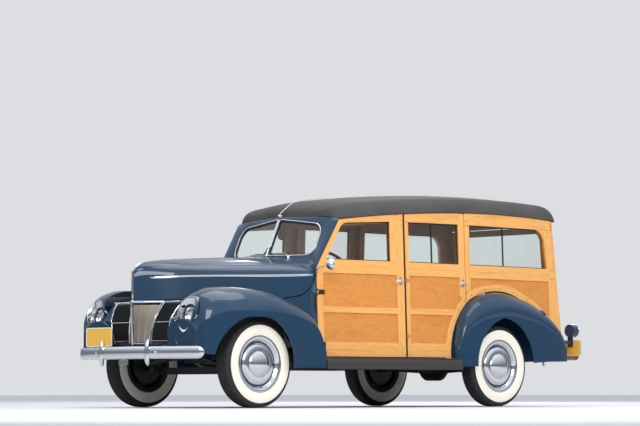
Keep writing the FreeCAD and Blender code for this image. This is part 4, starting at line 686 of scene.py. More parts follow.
g = {"half": 0.590, "bottom": 0.628, "top": 1.178, "liftLow": 1.186, "liftTop": 1.640, "stile": 0.070}
inner, outer = g["half"] - g["stile"], g["half"] - 0.001
tailgateParts = [tailRail(inner - seam, g["bottom"] + 0.012, g["bottom"] + 0.080),
                 tailRail(inner - seam, g["top"] - 0.070, g["top"] - 0.001)]
liftgateParts = [tailRail(inner + 0.01 - seam, g["liftLow"] + 0.001, g["liftLow"] + 0.056),
                 tailRail(inner + 0.01 - seam, g["liftTop"] - 0.056, g["liftTop"] - 0.012)]
for sign in (1, -1):
    tailgateParts.append(tailStile(sign * inner, sign * outer, g["bottom"] + 0.012, g["top"] - 0.001))
    liftgateParts.append(tailStile(sign * (inner + 0.010), sign * outer,
                                   g["liftLow"] + 0.001, g["liftTop"] - 0.012))
roundEdges(pieceFrom("tailgateTimber", tailgateParts, [mapleFrame], "tailgate"), stockRound)
roundEdges(pieceFrom("liftgateTimber", liftgateParts, [mapleFrame], "liftgate"), stockRound)
tailPostParts = [tailStile(sign * 0.600, sign * 0.640, 0.440, 1.640) for sign in (1, -1)]
tailPostParts += [tailRail(0.640, 1.652, 1.680), tailRail(0.352, 0.440, 0.520), tailRail(0.595, 0.540, 0.612)]
roundEdges(pieceFrom("tailFrameTimber", tailPostParts, [mapleFrame], "car"), stockRound)

# Looks of the nodes that keep their own solids; a name that ends in _ has a left and a right node
nodeLooks = [
    (panelWood, "front_door_ rear_door_ side_"),
    (panelAcross, "tail_frame tailgate liftgate"),
    (floorWood, "floor"),
    (paintBlue, "hood nose cowl front_fender_ rear_fender_ tail_lamp"),
    (roofFabric, "roof"),
    (satinBright, "grille"),
    (chrome, "headlamps front_bumper rear_bumper"),
    (windowGlass, "fixed_glass front_door_glass_ rear_door_glass_ liftgate_glass"),
    (blackSteel, "knuckle_ front_axle rear_axle frame_rails cross_members front_spring rear_spring"),
    (castIron, "engine driveline"),
    (boardRubber, "running_board_"),
    (seatLeather, "front_seat middle_seat rear_seat"),
    (dashPaint, "dashboard"),
    (wheelPlastic, "steering_wheel steering_column"),
    (plateYellow, "plates"),
]
for material, names in nodeLooks:
    for name in names.split():
        for side in ("left", "right") if name.endswith("_") else ("",):
            materials = nodes[name + side].data.materials
            materials.clear()
            materials.append(material)
print("timber laid")


# Wheels: tyre with a cream band, blue wheel with a bright ring and cap
wheelAround = 128
wheelPlaces = [
    ("front_left", halfBase, 0.708, 1), ("front_right", halfBase, -0.708, -1),
    ("rear_left", -halfBase, 0.740, 1), ("rear_right", -halfBase, -0.740, -1),
]
# (radius, along, slot of the stretch that follows): 0 rubber, 1 cream
tyreHalf = [
    (0.2035, 0.0600, 0), (0.2100, 0.0690, 0), (0.2300, 0.0715, 0), (0.2335, 0.0730, 1), (0.2360, 0.0752, 1),
    (0.2500, 0.0790, 1), (0.2700, 0.0818, 1), (0.2900, 0.0824, 1), (0.3080, 0.0808, 1), (0.3180, 0.0786, 1),
    (0.3188, 0.0776, 0), (0.3220, 0.0772, 0), (0.3300, 0.0748, 0), (0.3380, 0.0712, 0), (0.3385, 0.0690, 0),
    (0.3420, 0.0684, 0), (0.3490, 0.0630, 0), (0.3545, 0.0560, 0), (0.3562, 0.0480, 0), (0.3500, 0.0470, 0),
    (0.3500, 0.0430, 0), (0.3572, 0.0420, 0), (0.3578, 0.0300, 0), (0.3505, 0.0290, 0), (0.3505, 0.0250, 0),
    (0.3579, 0.0240, 0), (0.3580, 0.0110, 0), (0.3505, 0.0100, 0), (0.3505, 0.0060, 0), (0.3580, 0.0050, 0),
]
tyreProfile = [(r, a) for r, a, s in tyreHalf] + [(r, -a) for r, a, s in reversed(tyreHalf)]
tyreSlots = [s for r, a, s in tyreHalf[:-1]] + [0] + [s for r, a, s in reversed(tyreHalf[:-1])]
tyreProfile.append(tyreProfile[0])
tyreSlots.append(0)
# (radius, along, slot): 0 chrome, 1 blue, 2 black
wheelProfile = [
    (0.0, 0.1035, 0), (0.022, 0.1028, 0), (0.040, 0.1005, 0), (0.060, 0.0965, 0), (0.080, 0.0905, 0),
    (0.098, 0.0830, 0), (0.108, 0.0765, 0), (0.1125, 0.0715, 0), (0.1140, 0.0690, 0), (0.1190, 0.0688, 0),
    (0.1300, 0.0684, 0), (0.1420, 0.0672, 0), (0.1520, 0.0650, 0), (0.1620, 0.0600, 0), (0.1690, 0.0535, 0),
    (0.1722, 0.0490, 0), (0.1730, 0.0470, 1), (0.1740, 0.0455, 1), (0.1790, 0.0440, 1), (0.1845, 0.0450, 1),
    (0.1862, 0.0480, 0), (0.1890, 0.0500, 0), (0.1960, 0.0590, 0), (0.2000, 0.0655, 0), (0.2060, 0.0700, 0),
    (0.2150, 0.0722, 0), (0.2250, 0.0728, 0), (0.2295, 0.0718, 0), (0.2308, 0.0700, 0), (0.2300, 0.0685, 2),
    (0.2035, 0.0600, 2), (0.1990, 0.0400, 2), (0.1990, -0.0600, 2), (0.2050, -0.0660, 2), (0.2020, -0.0680, 2),
    (0.1950, -0.0650, 2), (0.1925, -0.0580, 2), (0.1925, 0.0140, 2), (0.1520, 0.0140, 2), (0.1520, -0.0480, 2),
    (0.1480, -0.0500, 2), (0.1400, -0.0480, 2), (0.1400, 0.0060, 2), (0.0420, 0.0060, 2), (0.0420, -0.0380, 2),
    (0.0, -0.0380, 2),
]
wheelProfile.reverse()
stemProfile = [(0, 0.017), (0.003, 0.017), (0.004, 0.014), (0.004, -0.004), (0, -0.004)]
for place, x, y, sign in wheelPlaces:
    centre, body = Vector((x + midShift, y, axleHeight)), "wheel_" + place
    points, faces, slots = lathe(centre, (0, sign, 0), tyreProfile, wheelAround, tyreSlots)
    tyre = newPiece("tyre_" + place + "_dressed", points, faces, [tyreRubber, creamWall], body, None, slots, 30)
    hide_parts("tyre_" + place)
    points, faces, slots = lathe(centre, (0, sign, 0), [(r, a) for r, a, s in wheelProfile], wheelAround,
                                 [s for r, a, s in wheelProfile][1:])
    wheel = newPiece(body + "_dressed", points, faces, [chrome, paintBlue, blackSteel], body, None, slots, 30)
    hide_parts("wheel_" + place)
    # valve stem in the blue band, and its cap
    stem = turned(centre + Vector((0.120, sign * 0.045, -0.136)), (0.25, sign * 0.9, -0.3), stemProfile, 12)
    pieceFrom("valveStem_" + place, [stem], [blackRubber], body)
print("wheels dressed")


# Node trees: a guide, named sizes and a finish go in, one plain mesh comes out
def startTree(name, source, sizes):
    tree = bpy.data.node_groups.new(name, "GeometryNodeTree")
    face = tree.interface
    face.new_socket(name=source, in_out="INPUT", socket_type="NodeSocketGeometry")
    for label, value in sizes:
        face.new_socket(name=label, in_out="INPUT", socket_type="NodeSocketFloat").default_value = value
    face.new_socket(name="Finish", in_out="INPUT", socket_type="NodeSocketMaterial")
    face.new_socket(name="Geometry", in_out="OUTPUT", socket_type="NodeSocketGeometry")
    return tree, tree.nodes.new, tree.nodes.new("NodeGroupInput")


def linkAll(tree, links):
    for source, output, target, entry in links:
        tree.links.new(source.outputs[output], target.inputs[entry])


def endTree(tree, make, enter, source, output):
    real, finish = make("GeometryNodeRealizeInstances"), make("GeometryNodeSetMaterial")
    linkAll(tree, [(source, output, real, "Geometry"), (real, "Geometry", finish, "Geometry"),
                   (enter, "Finish", finish, "Material"), (finish, "Geometry", make("NodeGroupOutput"), "Geometry")])
    return tree


def sweepTree():
    # guide lines swept into bars
    tree, make, enter = startTree("barAlongGuide", "Guide", (("Bar Width", 0.004), ("Bar Height", 0.004)))
    line, profile = make("GeometryNodeMeshToCurve"), make("GeometryNodeCurvePrimitiveQuadrilateral")
    sweep, upright = make("GeometryNodeCurveToMesh"), make("GeometryNodeSetCurveNormal")
    upright.mode = "Z_UP"
    sweep.inputs["Fill Caps"].default_value = True
    linkAll(tree, [(enter, "Guide", line, "Mesh"), (enter, "Bar Width", profile, "Width"),
                   (enter, "Bar Height", profile, "Height"), (line, "Curve", upright, "Curve"),
                   (upright, "Curve", sweep, "Curve"), (profile, "Curve", sweep, "Profile Curve")])
    return endTree(tree, make, enter, sweep, "Mesh")


def studTree():
    # a domed head on every guide point, turned to its stored direction
    tree, make, enter = startTree("studsOnPoints", "Places", (("Head Radius", 0.006), ("Head Height", 0.003)))
    head, flatten = make("GeometryNodeMeshUVSphere"), make("ShaderNodeCombineXYZ")
    place, direction = make("GeometryNodeInstanceOnPoints"), make("GeometryNodeInputNamedAttribute")
    turn = make("FunctionNodeAlignRotationToVector")
    head.inputs["Segments"].default_value = 14
    head.inputs["Rings"].default_value = 8
    direction.data_type = "FLOAT_VECTOR"
    direction.inputs["Name"].default_value = "outward"
    turn.axis = "Z"
    linkAll(tree, [(enter, "Places", place, "Points"), (head, "Mesh", place, "Instance"),
                   (direction, "Attribute", turn, "Vector"), (turn, "Rotation", place, "Rotation"),
                   (enter, "Head Radius", flatten, "X"), (enter, "Head Radius", flatten, "Y"),
                   (enter, "Head Height", flatten, "Z"), (flatten, "Vector", place, "Scale")])
    return endTree(tree, make, enter, place, "Instances")


def socketOf(tree, label):
    return next(item.identifier for item in tree.interface.items_tree if item.name == label and item.in_out == "INPUT")


def grown(name, mesh, tree, body, material, **inputs):
    # the tree's result as a plain mesh on a body
    guide = placed(name + "Guide", mesh)
    modifier = guide.modifiers.new("grow", "NODES")
    modifier.node_group = tree
    for key, value in inputs.items():
        modifier[socketOf(tree, key.replace("_", " "))] = value
    modifier[socketOf(tree, "Finish")] = material
    graph = bpy.context.evaluated_depsgraph_get()
    made = bpy.data.meshes.new_from_object(guide.evaluated_get(graph), depsgraph=graph)
    guide.modifiers.clear()
    bpy.data.objects.remove(guide)
    made.name = name
    if not made.materials:
        made.materials.append(material)
    smoothByAngle(made, 40)
    piece = placed(name, made)
    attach(piece, body)
    return piece


def guideMesh(name, paths):
    points, edges = [], []
    for path in paths:
        base = len(points)
        points += [tuple(p) for p in path]
        edges += [(base + i, base + i + 1) for i in range(len(path) - 1)]
    mesh = bpy.data.meshes.new(name)
    mesh.from_pydata(points, edges, [])
    return mesh


barTree = sweepTree()
ahead = Vector((1, 0, 0))

# Centre grille: fine bright bars that wrap the prow, in a bright border
grilleForm = {"low": 0.530, "high": 0.852, "pitch": 0.0085, "bar": 0.0042, "deep": 0.006,
              "halfLow": 0.121, "halfHigh": 0.180}
low, high = grilleForm["low"], grilleForm["high"]
# height, then the tip's and the corner's place ahead of the front axle, and the corner's half width
prowTable = [(0.512, 0.692, 0.616, 0.130), (0.620, 0.699, 0.611, 0.143), (0.720, 0.704, 0.590, 0.157),
             (0.810, 0.708, 0.551, 0.180), (0.900, 0.711, 0.508, 0.205)]
prowColumns = list(zip(*prowTable))


def noseAt(y, z, shift=0.0):
    # the prow's own skin, as the section is drawn
    tip, cornerX, cornerY = [float(numpy.interp(z, prowColumns[0], column)) for column in prowColumns[1:]]
    s = min(abs(y) / cornerY, 1.0)
    bulge = 0.006 * 4 * s * (1 - s)
    return Vector((halfBase + tip + (cornerX - tip) * s + bulge + midShift, y, z)) + ahead * shift


def grilleHalf(z):
    t = max(0.0, (z - low) / (high - low))
    return grilleForm["halfLow"] + (grilleForm["halfHigh"] - grilleForm["halfLow"]) * t ** 1.1


barPaths, ribs, grilleFrame, backPoints = [], [], [], []
for index in range(int((high - low - 0.012) / grilleForm["pitch"])):
    z = low + 0.010 + index * grilleForm["pitch"]
    for sign in (1, -1):
        barPaths.append([noseAt(sign * y, z, -0.003) for y in spread(0.006, grilleHalf(z) - 0.002, 8)])
grown("grilleBars", guideMesh("grilleBarLines", barPaths), barTree, "car", satinBright,
      Bar_Width=grilleForm["deep"], Bar_Height=grilleForm["bar"])
for share in (0.33, 0.67):
    for sign in (1, -1):
        path = [noseAt(sign * share * grilleHalf(z), z, -0.009) for z in spread(low + 0.004, high - 0.003, 12)]
        ribs.append(tube(path, 0.0022, 6))
for z in spread(low - 0.002, high + 0.004, 10):
    half = grilleHalf(z) + 0.004
    backPoints += [tuple(noseAt(share * half, z, -0.017)) for share in spread(-1.0, 1.0, 13)]
for sign in (1, -1):
    edge = [noseAt(sign * (grilleHalf(z) + 0.001), z, 0.001) for z in spread(low - 0.004, high + 0.006, 14)]
    lowEdge = [noseAt(sign * y, low - 0.004) for y in spread(0.0, grilleForm["halfLow"], 8)]
    grilleFrame += [tube(edge, 0.0062, 10), tube(lowEdge, 0.0055, 10)]
bars = pieceFrom("grilleSurround", grilleFrame + ribs, [chrome])
pieceFrom("grilleShadow", [(backPoints, gridFaces(10, 13), None, 0)], [blackSealAndShade])
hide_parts("grille")


# Prow strip from the hood's top down to the grille's foot
def prowHit(start, way):
    hit = hitOn(["hood"], start, way)
    return [(hit[0], Vector((hit[1].x, 0, hit[1].z)).normalized())] if hit else []


topRun = spread(2.020 + midShift, 2.100 + midShift, 8)
prow = [row for x in topRun for row in prowHit((x, 0.0005, 1.6), (0, 0, -1)) if row[0].z > 1.174]
prow += [row for z in spread(1.172, 0.872, 30) for row in prowHit((3.2, 0.0005, z), -ahead)]
prow += [(noseAt(0.0, z), ahead) for z in spread(0.866, 0.516, 16)]
prow = [(Vector((p.x, 0, p.z)), n) for p, n in prow]
pieceFrom("prowStripUpper", [strip([row for row in prow if row[0].z > 0.874], 0.024, 0.010, 0.004, 0.12)],
          [chrome], "hood")
pieceFrom("prowStripLower", [strip([row for row in prow if row[0].z <= 0.872], 0.026, 0.011, 0.004)], [chrome])

# Bright moulding along the hood's side, swelling at its front
sideLine = [(2.027, 1.063), (1.80, 1.0755), (1.50, 1.085), (1.20, 1.0925), (0.95, 1.100), (0.675, 1.112)]
sideRun = softCurve([(x + midShift, 1.2, z) for x, z in sideLine], 60)
moulding = [hit[:2] for hit in (hitOn(["hood"], point, (0, -1, 0)) for point in sideRun) if hit]
bothSides("hoodMoulding", [strip(moulding, 0.020, 0.006, 0.002, 0.05)], [chrome], "hood")


def noseSkin(y, z):
    hit = hitOn(["nose"], (3.0, y, z), -ahead)
    return hit[:2] if hit else None


def noseStrip(places, width, rise, sink):
    return strip([hit for hit in (noseSkin(y, z) for y, z in places) if hit], width, rise, sink)


# Bar across the top of the grilles, on the seam under the hood
seamZ, seamLine = 0.8665, []
for y in spread(0.0, 0.452, 40):
    hit = noseSkin(max(y, 0.001), seamZ) or noseSkin(max(y, 0.001), 0.860)
    point = noseAt(y, seamZ) if y < 0.18 else (hit[0] if hit else None)
    if point is not None and (not seamLine or abs(point.x - seamLine[-1][0].x) < 0.03):
        seamLine.append((Vector((point.x, y, seamZ)), ahead))
bothSides("grilleTopBar", [strip(seamLine, 0.017, 0.008, 0.004)], [chrome])

# Side grilles: black sheets of painted shade where the openings are, with two bright bars, edged by a bright curve;
# rows are (height, half width)
sideInner = [(0.528, 0.134), (0.587, 0.141), (0.682, 0.152), (0.777, 0.171), (0.845, 0.192), (0.857, 0.196)]
sideOuter = [(0.528, 0.348), (0.624, 0.360), (0.718, 0.378), (0.777, 0.392), (0.845, 0.414), (0.857, 0.418)]


def sideEdge(table, z):
    return float(numpy.interp(z, *zip(*table)))


def sideGrilleAt(share, z):
    return sideEdge(sideInner, z) * (1 - share) + sideEdge(sideOuter, z) * share


panelPoints, sidePaths, trims = [], [], []
rows, columns = 22, 12
for z in spread(0.535, 0.852, rows):
    for y in [sideGrilleAt(share, z) for share in spread(0.0, 1.0, columns)]:
        found = noseSkin(y, z)
        panelPoints.append(tuple(found[0] + found[1] * 0.0025) if found else (2.15, y, z))
for z in [0.541 + index * 0.0103 for index in range(30)]:
    hits = [noseSkin(sideGrilleAt(share, z), z) for share in spread(0.02, 0.98, 10)]
    sidePaths.append([hit[0] + hit[1] * 0.004 for hit in hits if hit])
darkBar = newMaterial("sideGrilleBars", (0.030, 0.031, 0.034), Metallic=0.7, Roughness=0.4)
for side, sign in (("Left", 1), ("Right", -1)):
    paths = [[Vector((p.x, p.y * sign, p.z)) for p in path] for path in sidePaths]
    grown("sideGrilleBars" + side, guideMesh("sideGrille" + side, paths), barTree, "car", darkBar,
          Bar_Width=0.005, Bar_Height=0.0035)
# the black sheet on the nose is painted shade for the dark behind the side grilles' openings
bothSides("sideGrilleShadeSheet", [(panelPoints, gridFaces(rows, columns), None, 0)], [blackSealAndShade])
trims.append(noseStrip([(sideEdge(sideOuter, z), z) for z in spread(0.530, 0.862, 24)], 0.012, 0.007, 0.003))
trims.append(noseStrip([(sideEdge(sideInner, z) + 0.004, z) for z in spread(0.530, 0.858, 24)], 0.009, 0.006, 0.003))
for z in (0.548, 0.700):
    places = [(y, z) for y in spread(sideEdge(sideInner, z) + 0.006, sideEdge(sideOuter, z), 12)]
    trims.append(noseStrip(places, 0.011, 0.007, 0.002))
bothSides("sideGrilleTrim", trims, [chrome])
print("front brightwork laid")

# Headlamps: the fender's form is carried on under each lamp, then a teardrop bezel and a fluted lens
lampForm = {"x": 2.178, "y": 0.572, "z": 0.752, "gasket": 0.0850, "rim": 0.0905}
boreForm = {"y": 0.592, "z": 0.79, "clear": 0.118, "cover": 0.121}  # the bore in the fender's solid
lampCentre = Vector((lampForm["x"], lampForm["y"], lampForm["z"]))
lampAxis = Vector((1.0, 0.02, 0.10)).normalized()
lampSide = Vector((0, 0, 1)).cross(lampAxis).normalized()
lampUp = lampAxis.cross(lampSide)
around = 72


def fenderTerms(y, z):
    u, v = (y - 0.60) / 0.1, (z - 0.79) / 0.1
    return [1, u, v, u * u, u * v, v * v, u ** 3, u * u * v, u * v * v, v ** 3]


def fittedFender():
    # a cubic face through the fender round the lamp's opening
    terms, values = [], []
    for j in range(29):
        for i in range(25):
            y, z = 0.46 + i * 0.0125, 0.63 + j * 0.0125
            hit = hitOn(["front_fender_left"], (3.0, y, z), -ahead)
            clear = math.hypot(y - boreForm["y"], z - boreForm["z"]) > boreForm["clear"]
            if hit and hit[0].x > 1.93 and hit[1].x > 0.12 and clear:
                terms.append(fenderTerms(y, z))
                values.append(hit[0].x)
    terms, values = numpy.array(terms), numpy.array(values)
    answer = numpy.linalg.lstsq(terms, values, rcond=None)[0]
    print("fender fit, points:", len(values), "worst", round(float(numpy.abs(terms @ answer - values).max()), 4))
    return answer


fenderFit = fittedFender()


def fenderX(y, z):
    return float(numpy.dot(fenderTerms(y, z), fenderFit))


def onFender(y, z, out=0.0):
    x, step = fenderX(y, z), 0.002
    dy, dz = (fenderX(y + step, z) - x) / step, (fenderX(y, z + step) - x) / step
    normal = Vector((1, -dy, -dz)).normalized()
    return Vector((x, y, z)) + normal * out, normal


# Front view of the bezel's edge: height from the lens, half widths inboard and outboard of it
teardropTable = [
    (-0.142, 0.004, 0.006), (-0.128, 0.030, 0.028), (-0.105, 0.055, 0.050), (-0.070, 0.078, 0.074),
    (-0.030, 0.092, 0.094), (0.015, 0.096, 0.108), (0.055, 0.090, 0.116), (0.092, 0.074, 0.118),
    (0.120, 0.050, 0.110), (0.138, 0.018, 0.092), (0.144, -0.030, 0.066),
]


def bezelOutline():
    inboard = [(lampForm["y"] - a, lampForm["z"] + h, 0) for h, a, b in teardropTable]
    outboard = [(lampForm["y"] + b, lampForm["z"] + h, 0) for h, a, b in teardropTable]
    loop = outboard + inboard[::-1]
    even = evenPoints(softCurve(loop + [loop[0]], 240), 0.0005)
    ring = [even[int(k * (len(even) - 1) / around)] for k in range(around)]
    # begin outboard of the lens so that it meets the rim's own start
    starts = [abs(p.y - lampForm["z"]) + (1 if p.x < lampForm["y"] else 0) for p in ring]
    first = starts.index(min(starts))
    return ring[first:] + ring[:first]


def lensPoint(angle, radius, out):
    return (lampCentre + lampSide * (radius * math.cos(angle)) + lampUp * (radius * math.sin(angle))
            + lampAxis * out)


outline = bezelOutline()
bezelRows = [[] for stage in range(11)]
for foot, normal in [onFender(p.x, p.y) for p in outline]:
    angle = math.atan2((foot - lampCentre).dot(lampUp), (foot - lampCentre).dot(lampSide))
    rim = lensPoint(angle, lampForm["rim"], 0.012)
    stages = [foot - normal * 0.006]
    # a rounded shoulder off the fender, then an even slope up to the rim
    for t in [stage / 7 for stage in range(8)]:
        swell = 0.012 * math.sqrt(max(0.0, 1 - (1 - t) ** 3)) * (1 - t) ** 0.5
        stages.append(foot.lerp(rim, t) + (lampAxis * 0.4 + normal * 0.6) * swell + normal * 0.0015 * (1 - t))
    stages.append(lensPoint(angle, lampForm["rim"] - 0.0040, 0.0115))
    stages.append(lensPoint(angle, lampForm["gasket"] - 0.0010, -0.004))
    for row, point in zip(bezelRows, stages):
        row.append(tuple(point))
bezelPoints = [p for row in bezelRows for p in row]
bezelFaces = facing(bezelPoints, gridFaces(11, around, False, True), lampAxis, around * 3)
bezels = bothSides("lampBezel", [(bezelPoints, bezelFaces, None, 0)], [chrome], sharp=50)
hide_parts("headlamps")

# Blue surround that carries the fender's form over the opening, round the bezel's edge
surroundPoints = []
for share, out in ((0.0, -0.003), (0.0, 0.0004), (0.35, 0.0005), (0.7, 0.0005), (1.0, 0.0004), (1.0, -0.003)):
    for p in outline:
        way = Vector((p.x - boreForm["y"], p.y - boreForm["z"]))
        reach = max(way.length, 1e-6)
        edge = max(boreForm["cover"], reach + 0.004)
        place = (reach - 0.004) + (edge - reach + 0.004) * share
        place = Vector((boreForm["y"], boreForm["z"])) + way * place / reach
        surroundPoints.append(tuple(onFender(place.x, place.y, out)[0]))
surroundFaces = facing(surroundPoints, gridFaces(6, around, False, True), ahead, around * 2)
bothSides("lampSurround", [(surroundPoints, surroundFaces, None, 0)], [paintBlue], sharp=60)

# name, steps round, material, sharp angle, profile
lampParts = [
    ("lampGasket", 72, blackRubber, 50, [(0.0745, -0.006), (0.0760, 0.0030), (0.0815, 0.0045), (0.0865, 0.0015),
                                         (0.0865, -0.006), (0.0745, -0.006)]),
    ("lampReflector", 48, reflectorSilver, 35, [(0.0755, -0.004), (0.070, -0.020), (0.058, -0.037), (0.040, -0.050),
                                                (0.018, -0.057), (0.0, -0.058)]),
    ("lampBulb", 20, lampGlass, 35, [(0.0, -0.018), (0.006, -0.020), (0.009, -0.028), (0.008, -0.040),
                                     (0.010, -0.046), (0.010, -0.057)]),
    ("lampLens", 64, lampGlass, 35, [(0.0, 0.018), (0.028, 0.0168), (0.050, 0.0130), (0.066, 0.0065), (0.0750, 0.000),
                                     (0.0750, -0.004), (0.066, 0.002), (0.050, 0.009), (0.028, 0.013), (0.0, 0.0145)]),
]
for name, steps, material, sharp, profile in lampParts:
    bothSides(name, [turned(lampCentre, lampAxis, profile, steps)], [material], sharp=sharp)

# Upright flutes moulded in the lens
flutes = []
for y in [step * 0.0125 for step in range(-5, 6)]:
    reach = math.sqrt(max(0.070 ** 2 - y ** 2, 0.0004))
    path = []
    for z in spread(-reach, reach, 9):
        bulge = 0.018 * (1 - (math.hypot(y, z) / 0.075) ** 2) + 0.0006
        path.append(lampCentre + lampSide * y + lampUp * z + lampAxis * bulge)
    flutes.append(tube(path, 0.0013, 6))
bothSides("lampFlutes", flutes, [lampGlass])
screwProfile = [(0.0, 0.002), (0.003, 0.0018), (0.0045, 0.0), (0.0045, -0.004), (0, -0.004)]
screwPlace = onFender(lampForm["y"], lampForm["z"] - 0.128, 0.004)
bothSides("bezelScrew", [turned(*screwPlace, screwProfile, 16)], [chrome])
print("headlamps dressed")

# Windscreen: rounded corners, bright edging, rubber, centre bar and wipers in the plane of each pane
screenForm = {"baseX": 0.82975, "baseZ": 1.286, "sweep": 0.070 / 0.508, "rake": 0.152 / 0.330}
screenOpening = [(0.014, 0.012), (0.508, 0.004), (0.508, 0.264), (0.014, 0.324)]
screenRadii = [0.010, 0.085, 0.100, 0.022]


def onScreen(y, up, out):
    outward = Vector((1, screenForm["sweep"], screenForm["rake"])).normalized()
    x = screenForm["baseX"] - screenForm["sweep"] * y - screenForm["rake"] * up
    return Vector((x, y, screenForm["baseZ"] + up)) + outward * out


def roundedOutline(corners, radii, steps=8):
    # closed outline, each corner eased from one side to the next; also the eased stretch of each corner
    outline, stretches = [], []
    count = len(corners)
    for index, radius in enumerate(radii):
        corner, before, after = [Vector(corners[(index + k) % count]) for k in (0, -1, 1)]
        start = corner + (before - corner).normalized() * radius
        end = corner + (after - corner).normalized() * radius
        stretch = []
        for k in range(steps + 1):
            t = k / steps
            a, b, c = (1 - t) ** 2, 2 * t * (1 - t) * 0.80, t ** 2
            stretch.append(tuple((start * a + corner * b + end * c) / (a + b + c)))
        outline += stretch
        stretches.append([tuple(corner)] + stretch[::-1])
    return outline, stretches


def oblong(u1, u2, v1, v2):
    return [(u1, v1), (u2, v1), (u2, v2), (u1, v2)]


def prismFaces(count):
    # a closed block between two outlines of as many points
    faces = [tuple(reversed(range(count))), tuple(range(count, 2 * count))]
    return faces + [(k, (k + 1) % count, count + (k + 1) % count, count + k) for k in range(count)]


def plateBetween(flat, low, high, at):
    # a plate with the flat outline, between two depths
    points = [tuple(at(u, v, out)) for out in (low, high) for u, v in flat]
    faces = prismFaces(len(flat))
    area = sum(a[0] * b[1] - b[0] * a[1] for a, b in zip(flat, flat[1:] + flat[:1]))
    origin = at(0.1, 0.1, 0.0)
    across, upward, outward = at(1.1, 0.1, 0.0) - origin, at(0.1, 1.1, 0.0) - origin, at(0.1, 0.1, 1.0) - origin
    return points, backward(faces) if across.cross(upward).dot(outward) * area < 0 else faces, None, 0


def closedStrip(flat, width, rise, sink, at, out=0.0, shift=0.0, slot=0):
    # a strip laid along a closed flat outline, its ends meeting
    centre = sum((Vector(p) for p in flat), Vector((0, 0))) / len(flat)
    outward = at(*flat[0], 1.0) - at(*flat[0], 0.0)
    count, arcs, points = len(flat), 5, []
    section = [(-1, -sink)] + [(-math.cos(math.pi * k / arcs), rise * math.sin(math.pi * k / arcs))
                               for k in range(arcs + 1)] + [(1, -sink)]
    for index, (u, v) in enumerate(flat):
        before, after = Vector(flat[index - 1]), Vector(flat[(index + 1) % count])
        along = (after - before).normalized()
        side = Vector((along.y, -along.x))
        if side.dot(Vector((u, v)) - centre) < 0:
            side = -side
        for across, lift in section:
            place = Vector((u, v)) + side * (shift + across * width / 2)
            points.append(tuple(at(place.x, place.y, out + lift)))
    faces = gridFaces(count, arcs + 3, True, True)
    return points, facing(points, faces, outward, (arcs + 3) // 2), None, slot


paneEdge = roundedOutline(screenOpening, screenRadii)[0]
for name, material, sizes, out, shift in (("screenEdging", chrome, (0.0095, 0.0042, 0.002), 0.004, 0.004),
                                          ("screenRubber", blackRubber, (0.012, 0.003, 0.010), -0.004, -0.005)):
    bothSides(name, [closedStrip(paneEdge, *sizes, onScreen, out=out, shift=shift)], [material])

ridgeWay = Vector((1, 0, screenForm["rake"])).normalized()
ridge = [(Vector((screenForm["baseX"] - screenForm["rake"] * up, 0.0, screenForm["baseZ"] + up)), ridgeWay)
         for up in spread(0.000, 0.322, 12)]
pieceFrom("screenBar", [strip(ridge, 0.040, 0.005, 0.006),
                        withSlot(strip([(p + n * 0.003, n) for p, n in ridge], 0.019, 0.011, 0.002), 1)],
          [blackRubber, chrome])

# Wipers lie along the foot of each pane, their spindles on the scuttle
spindle = onScreen(0.250, -0.016, 0.004)
spindleProfile = [(0.0, 0.024), (0.007, 0.022), (0.009, 0.014), (0.014, 0.006), (0.016, -0.006), (0, -0.006)]
wiperArm = [spindle + Vector((0.004, 0, 0.018)), onScreen(0.215, 0.012, 0.020), onScreen(0.150, 0.024, 0.014)]
bladeLine = [onScreen(y, 0.021 + 0.012 * (0.25 - y), 0.006) for y in spread(0.050, 0.245, 8)]
bothSides("wiper", [turned(spindle, (0.35, 0.0, 0.94), spindleProfile, 20), tube(wiperArm, 0.0028, 8),
                    withSlot(tube(bladeLine, 0.0034, 8), 1),
                    tube([p + Vector((0.004, 0, 0.004)) for p in bladeLine[1:-1]], 0.0022, 6)], [chrome, blackRubber])

# Aerial: ball foot on the header, rod lying back just over the roof's middle
hit = hitOn(["cowl"], (1.6, 0.0, 1.640), -ahead)
aerialFoot = Vector((hit[0].x if hit else 0.668, 0.0, 1.640))
footProfile = [(0.0, 0.026), (0.007, 0.0245), (0.0115, 0.019), (0.013, 0.012), (0.0105, 0.005), (0.0155, 0.002),
               (0.017, -0.006), (0.0, -0.006)]
tipProfile = [(0.0, 0.008), (0.004, 0.006), (0.0045, 0.002), (0.003, -0.002), (0, -0.002)]
overRoof = [(x, hitOn(["roof"], (x, 0.0007, 2.2), (0, 0, -1))) for x in spread(0.640, 0.120, 27)]
overRoof = [Vector((x, 0.0, hit[0].z + 0.008)) for x, hit in overRoof if hit]
rodPath = softCurve([aerialFoot + Vector((0.012, 0, 0.006)), Vector((0.660, 0, 1.672))] + overRoof[::3], 30)
pieceFrom("aerial", [turned(aerialFoot, (1, 0, 0.35), footProfile, 28),
                     tube(rodPath, [0.0030 - 0.0012 * k / 29 for k in range(30)], 8),
                     turned(rodPath[-1], (-1, 0, 0.1), tipProfile, 12)], [chrome])

# Rear-view mirror under the header
mirrorAt, mirrorWay = Vector((0.655, 0.0, 1.487)), (-1, 0, -0.10)
mirrorBack = newMaterial("mirrorBack", (0.05, 0.055, 0.065), Roughness=0.35, Metallic=0.4)
backProfile = [(0.0, -0.016), (0.022, -0.0135), (0.040, -0.006), (0.048, 0.000), (0.050, 0.006), (0.0475, 0.008),
               (0, 0.008)]
faceProfile = [(0, 0.0082), (0.046, 0.0082), (0.046, 0.0092), (0.0, 0.0092)]
stalk = [mirrorAt + Vector((0.012, 0, 0.010)), (0.672, 0, 1.535), (0.668, 0, 1.590), (0.664, 0, 1.612)]
pieceFrom("innerMirror", [turned(mirrorAt, mirrorWay, backProfile, 40), turned(mirrorAt, mirrorWay, faceProfile, 40, 1),
                          tube(stalk, 0.0042, 8)], [mirrorBack, chrome])

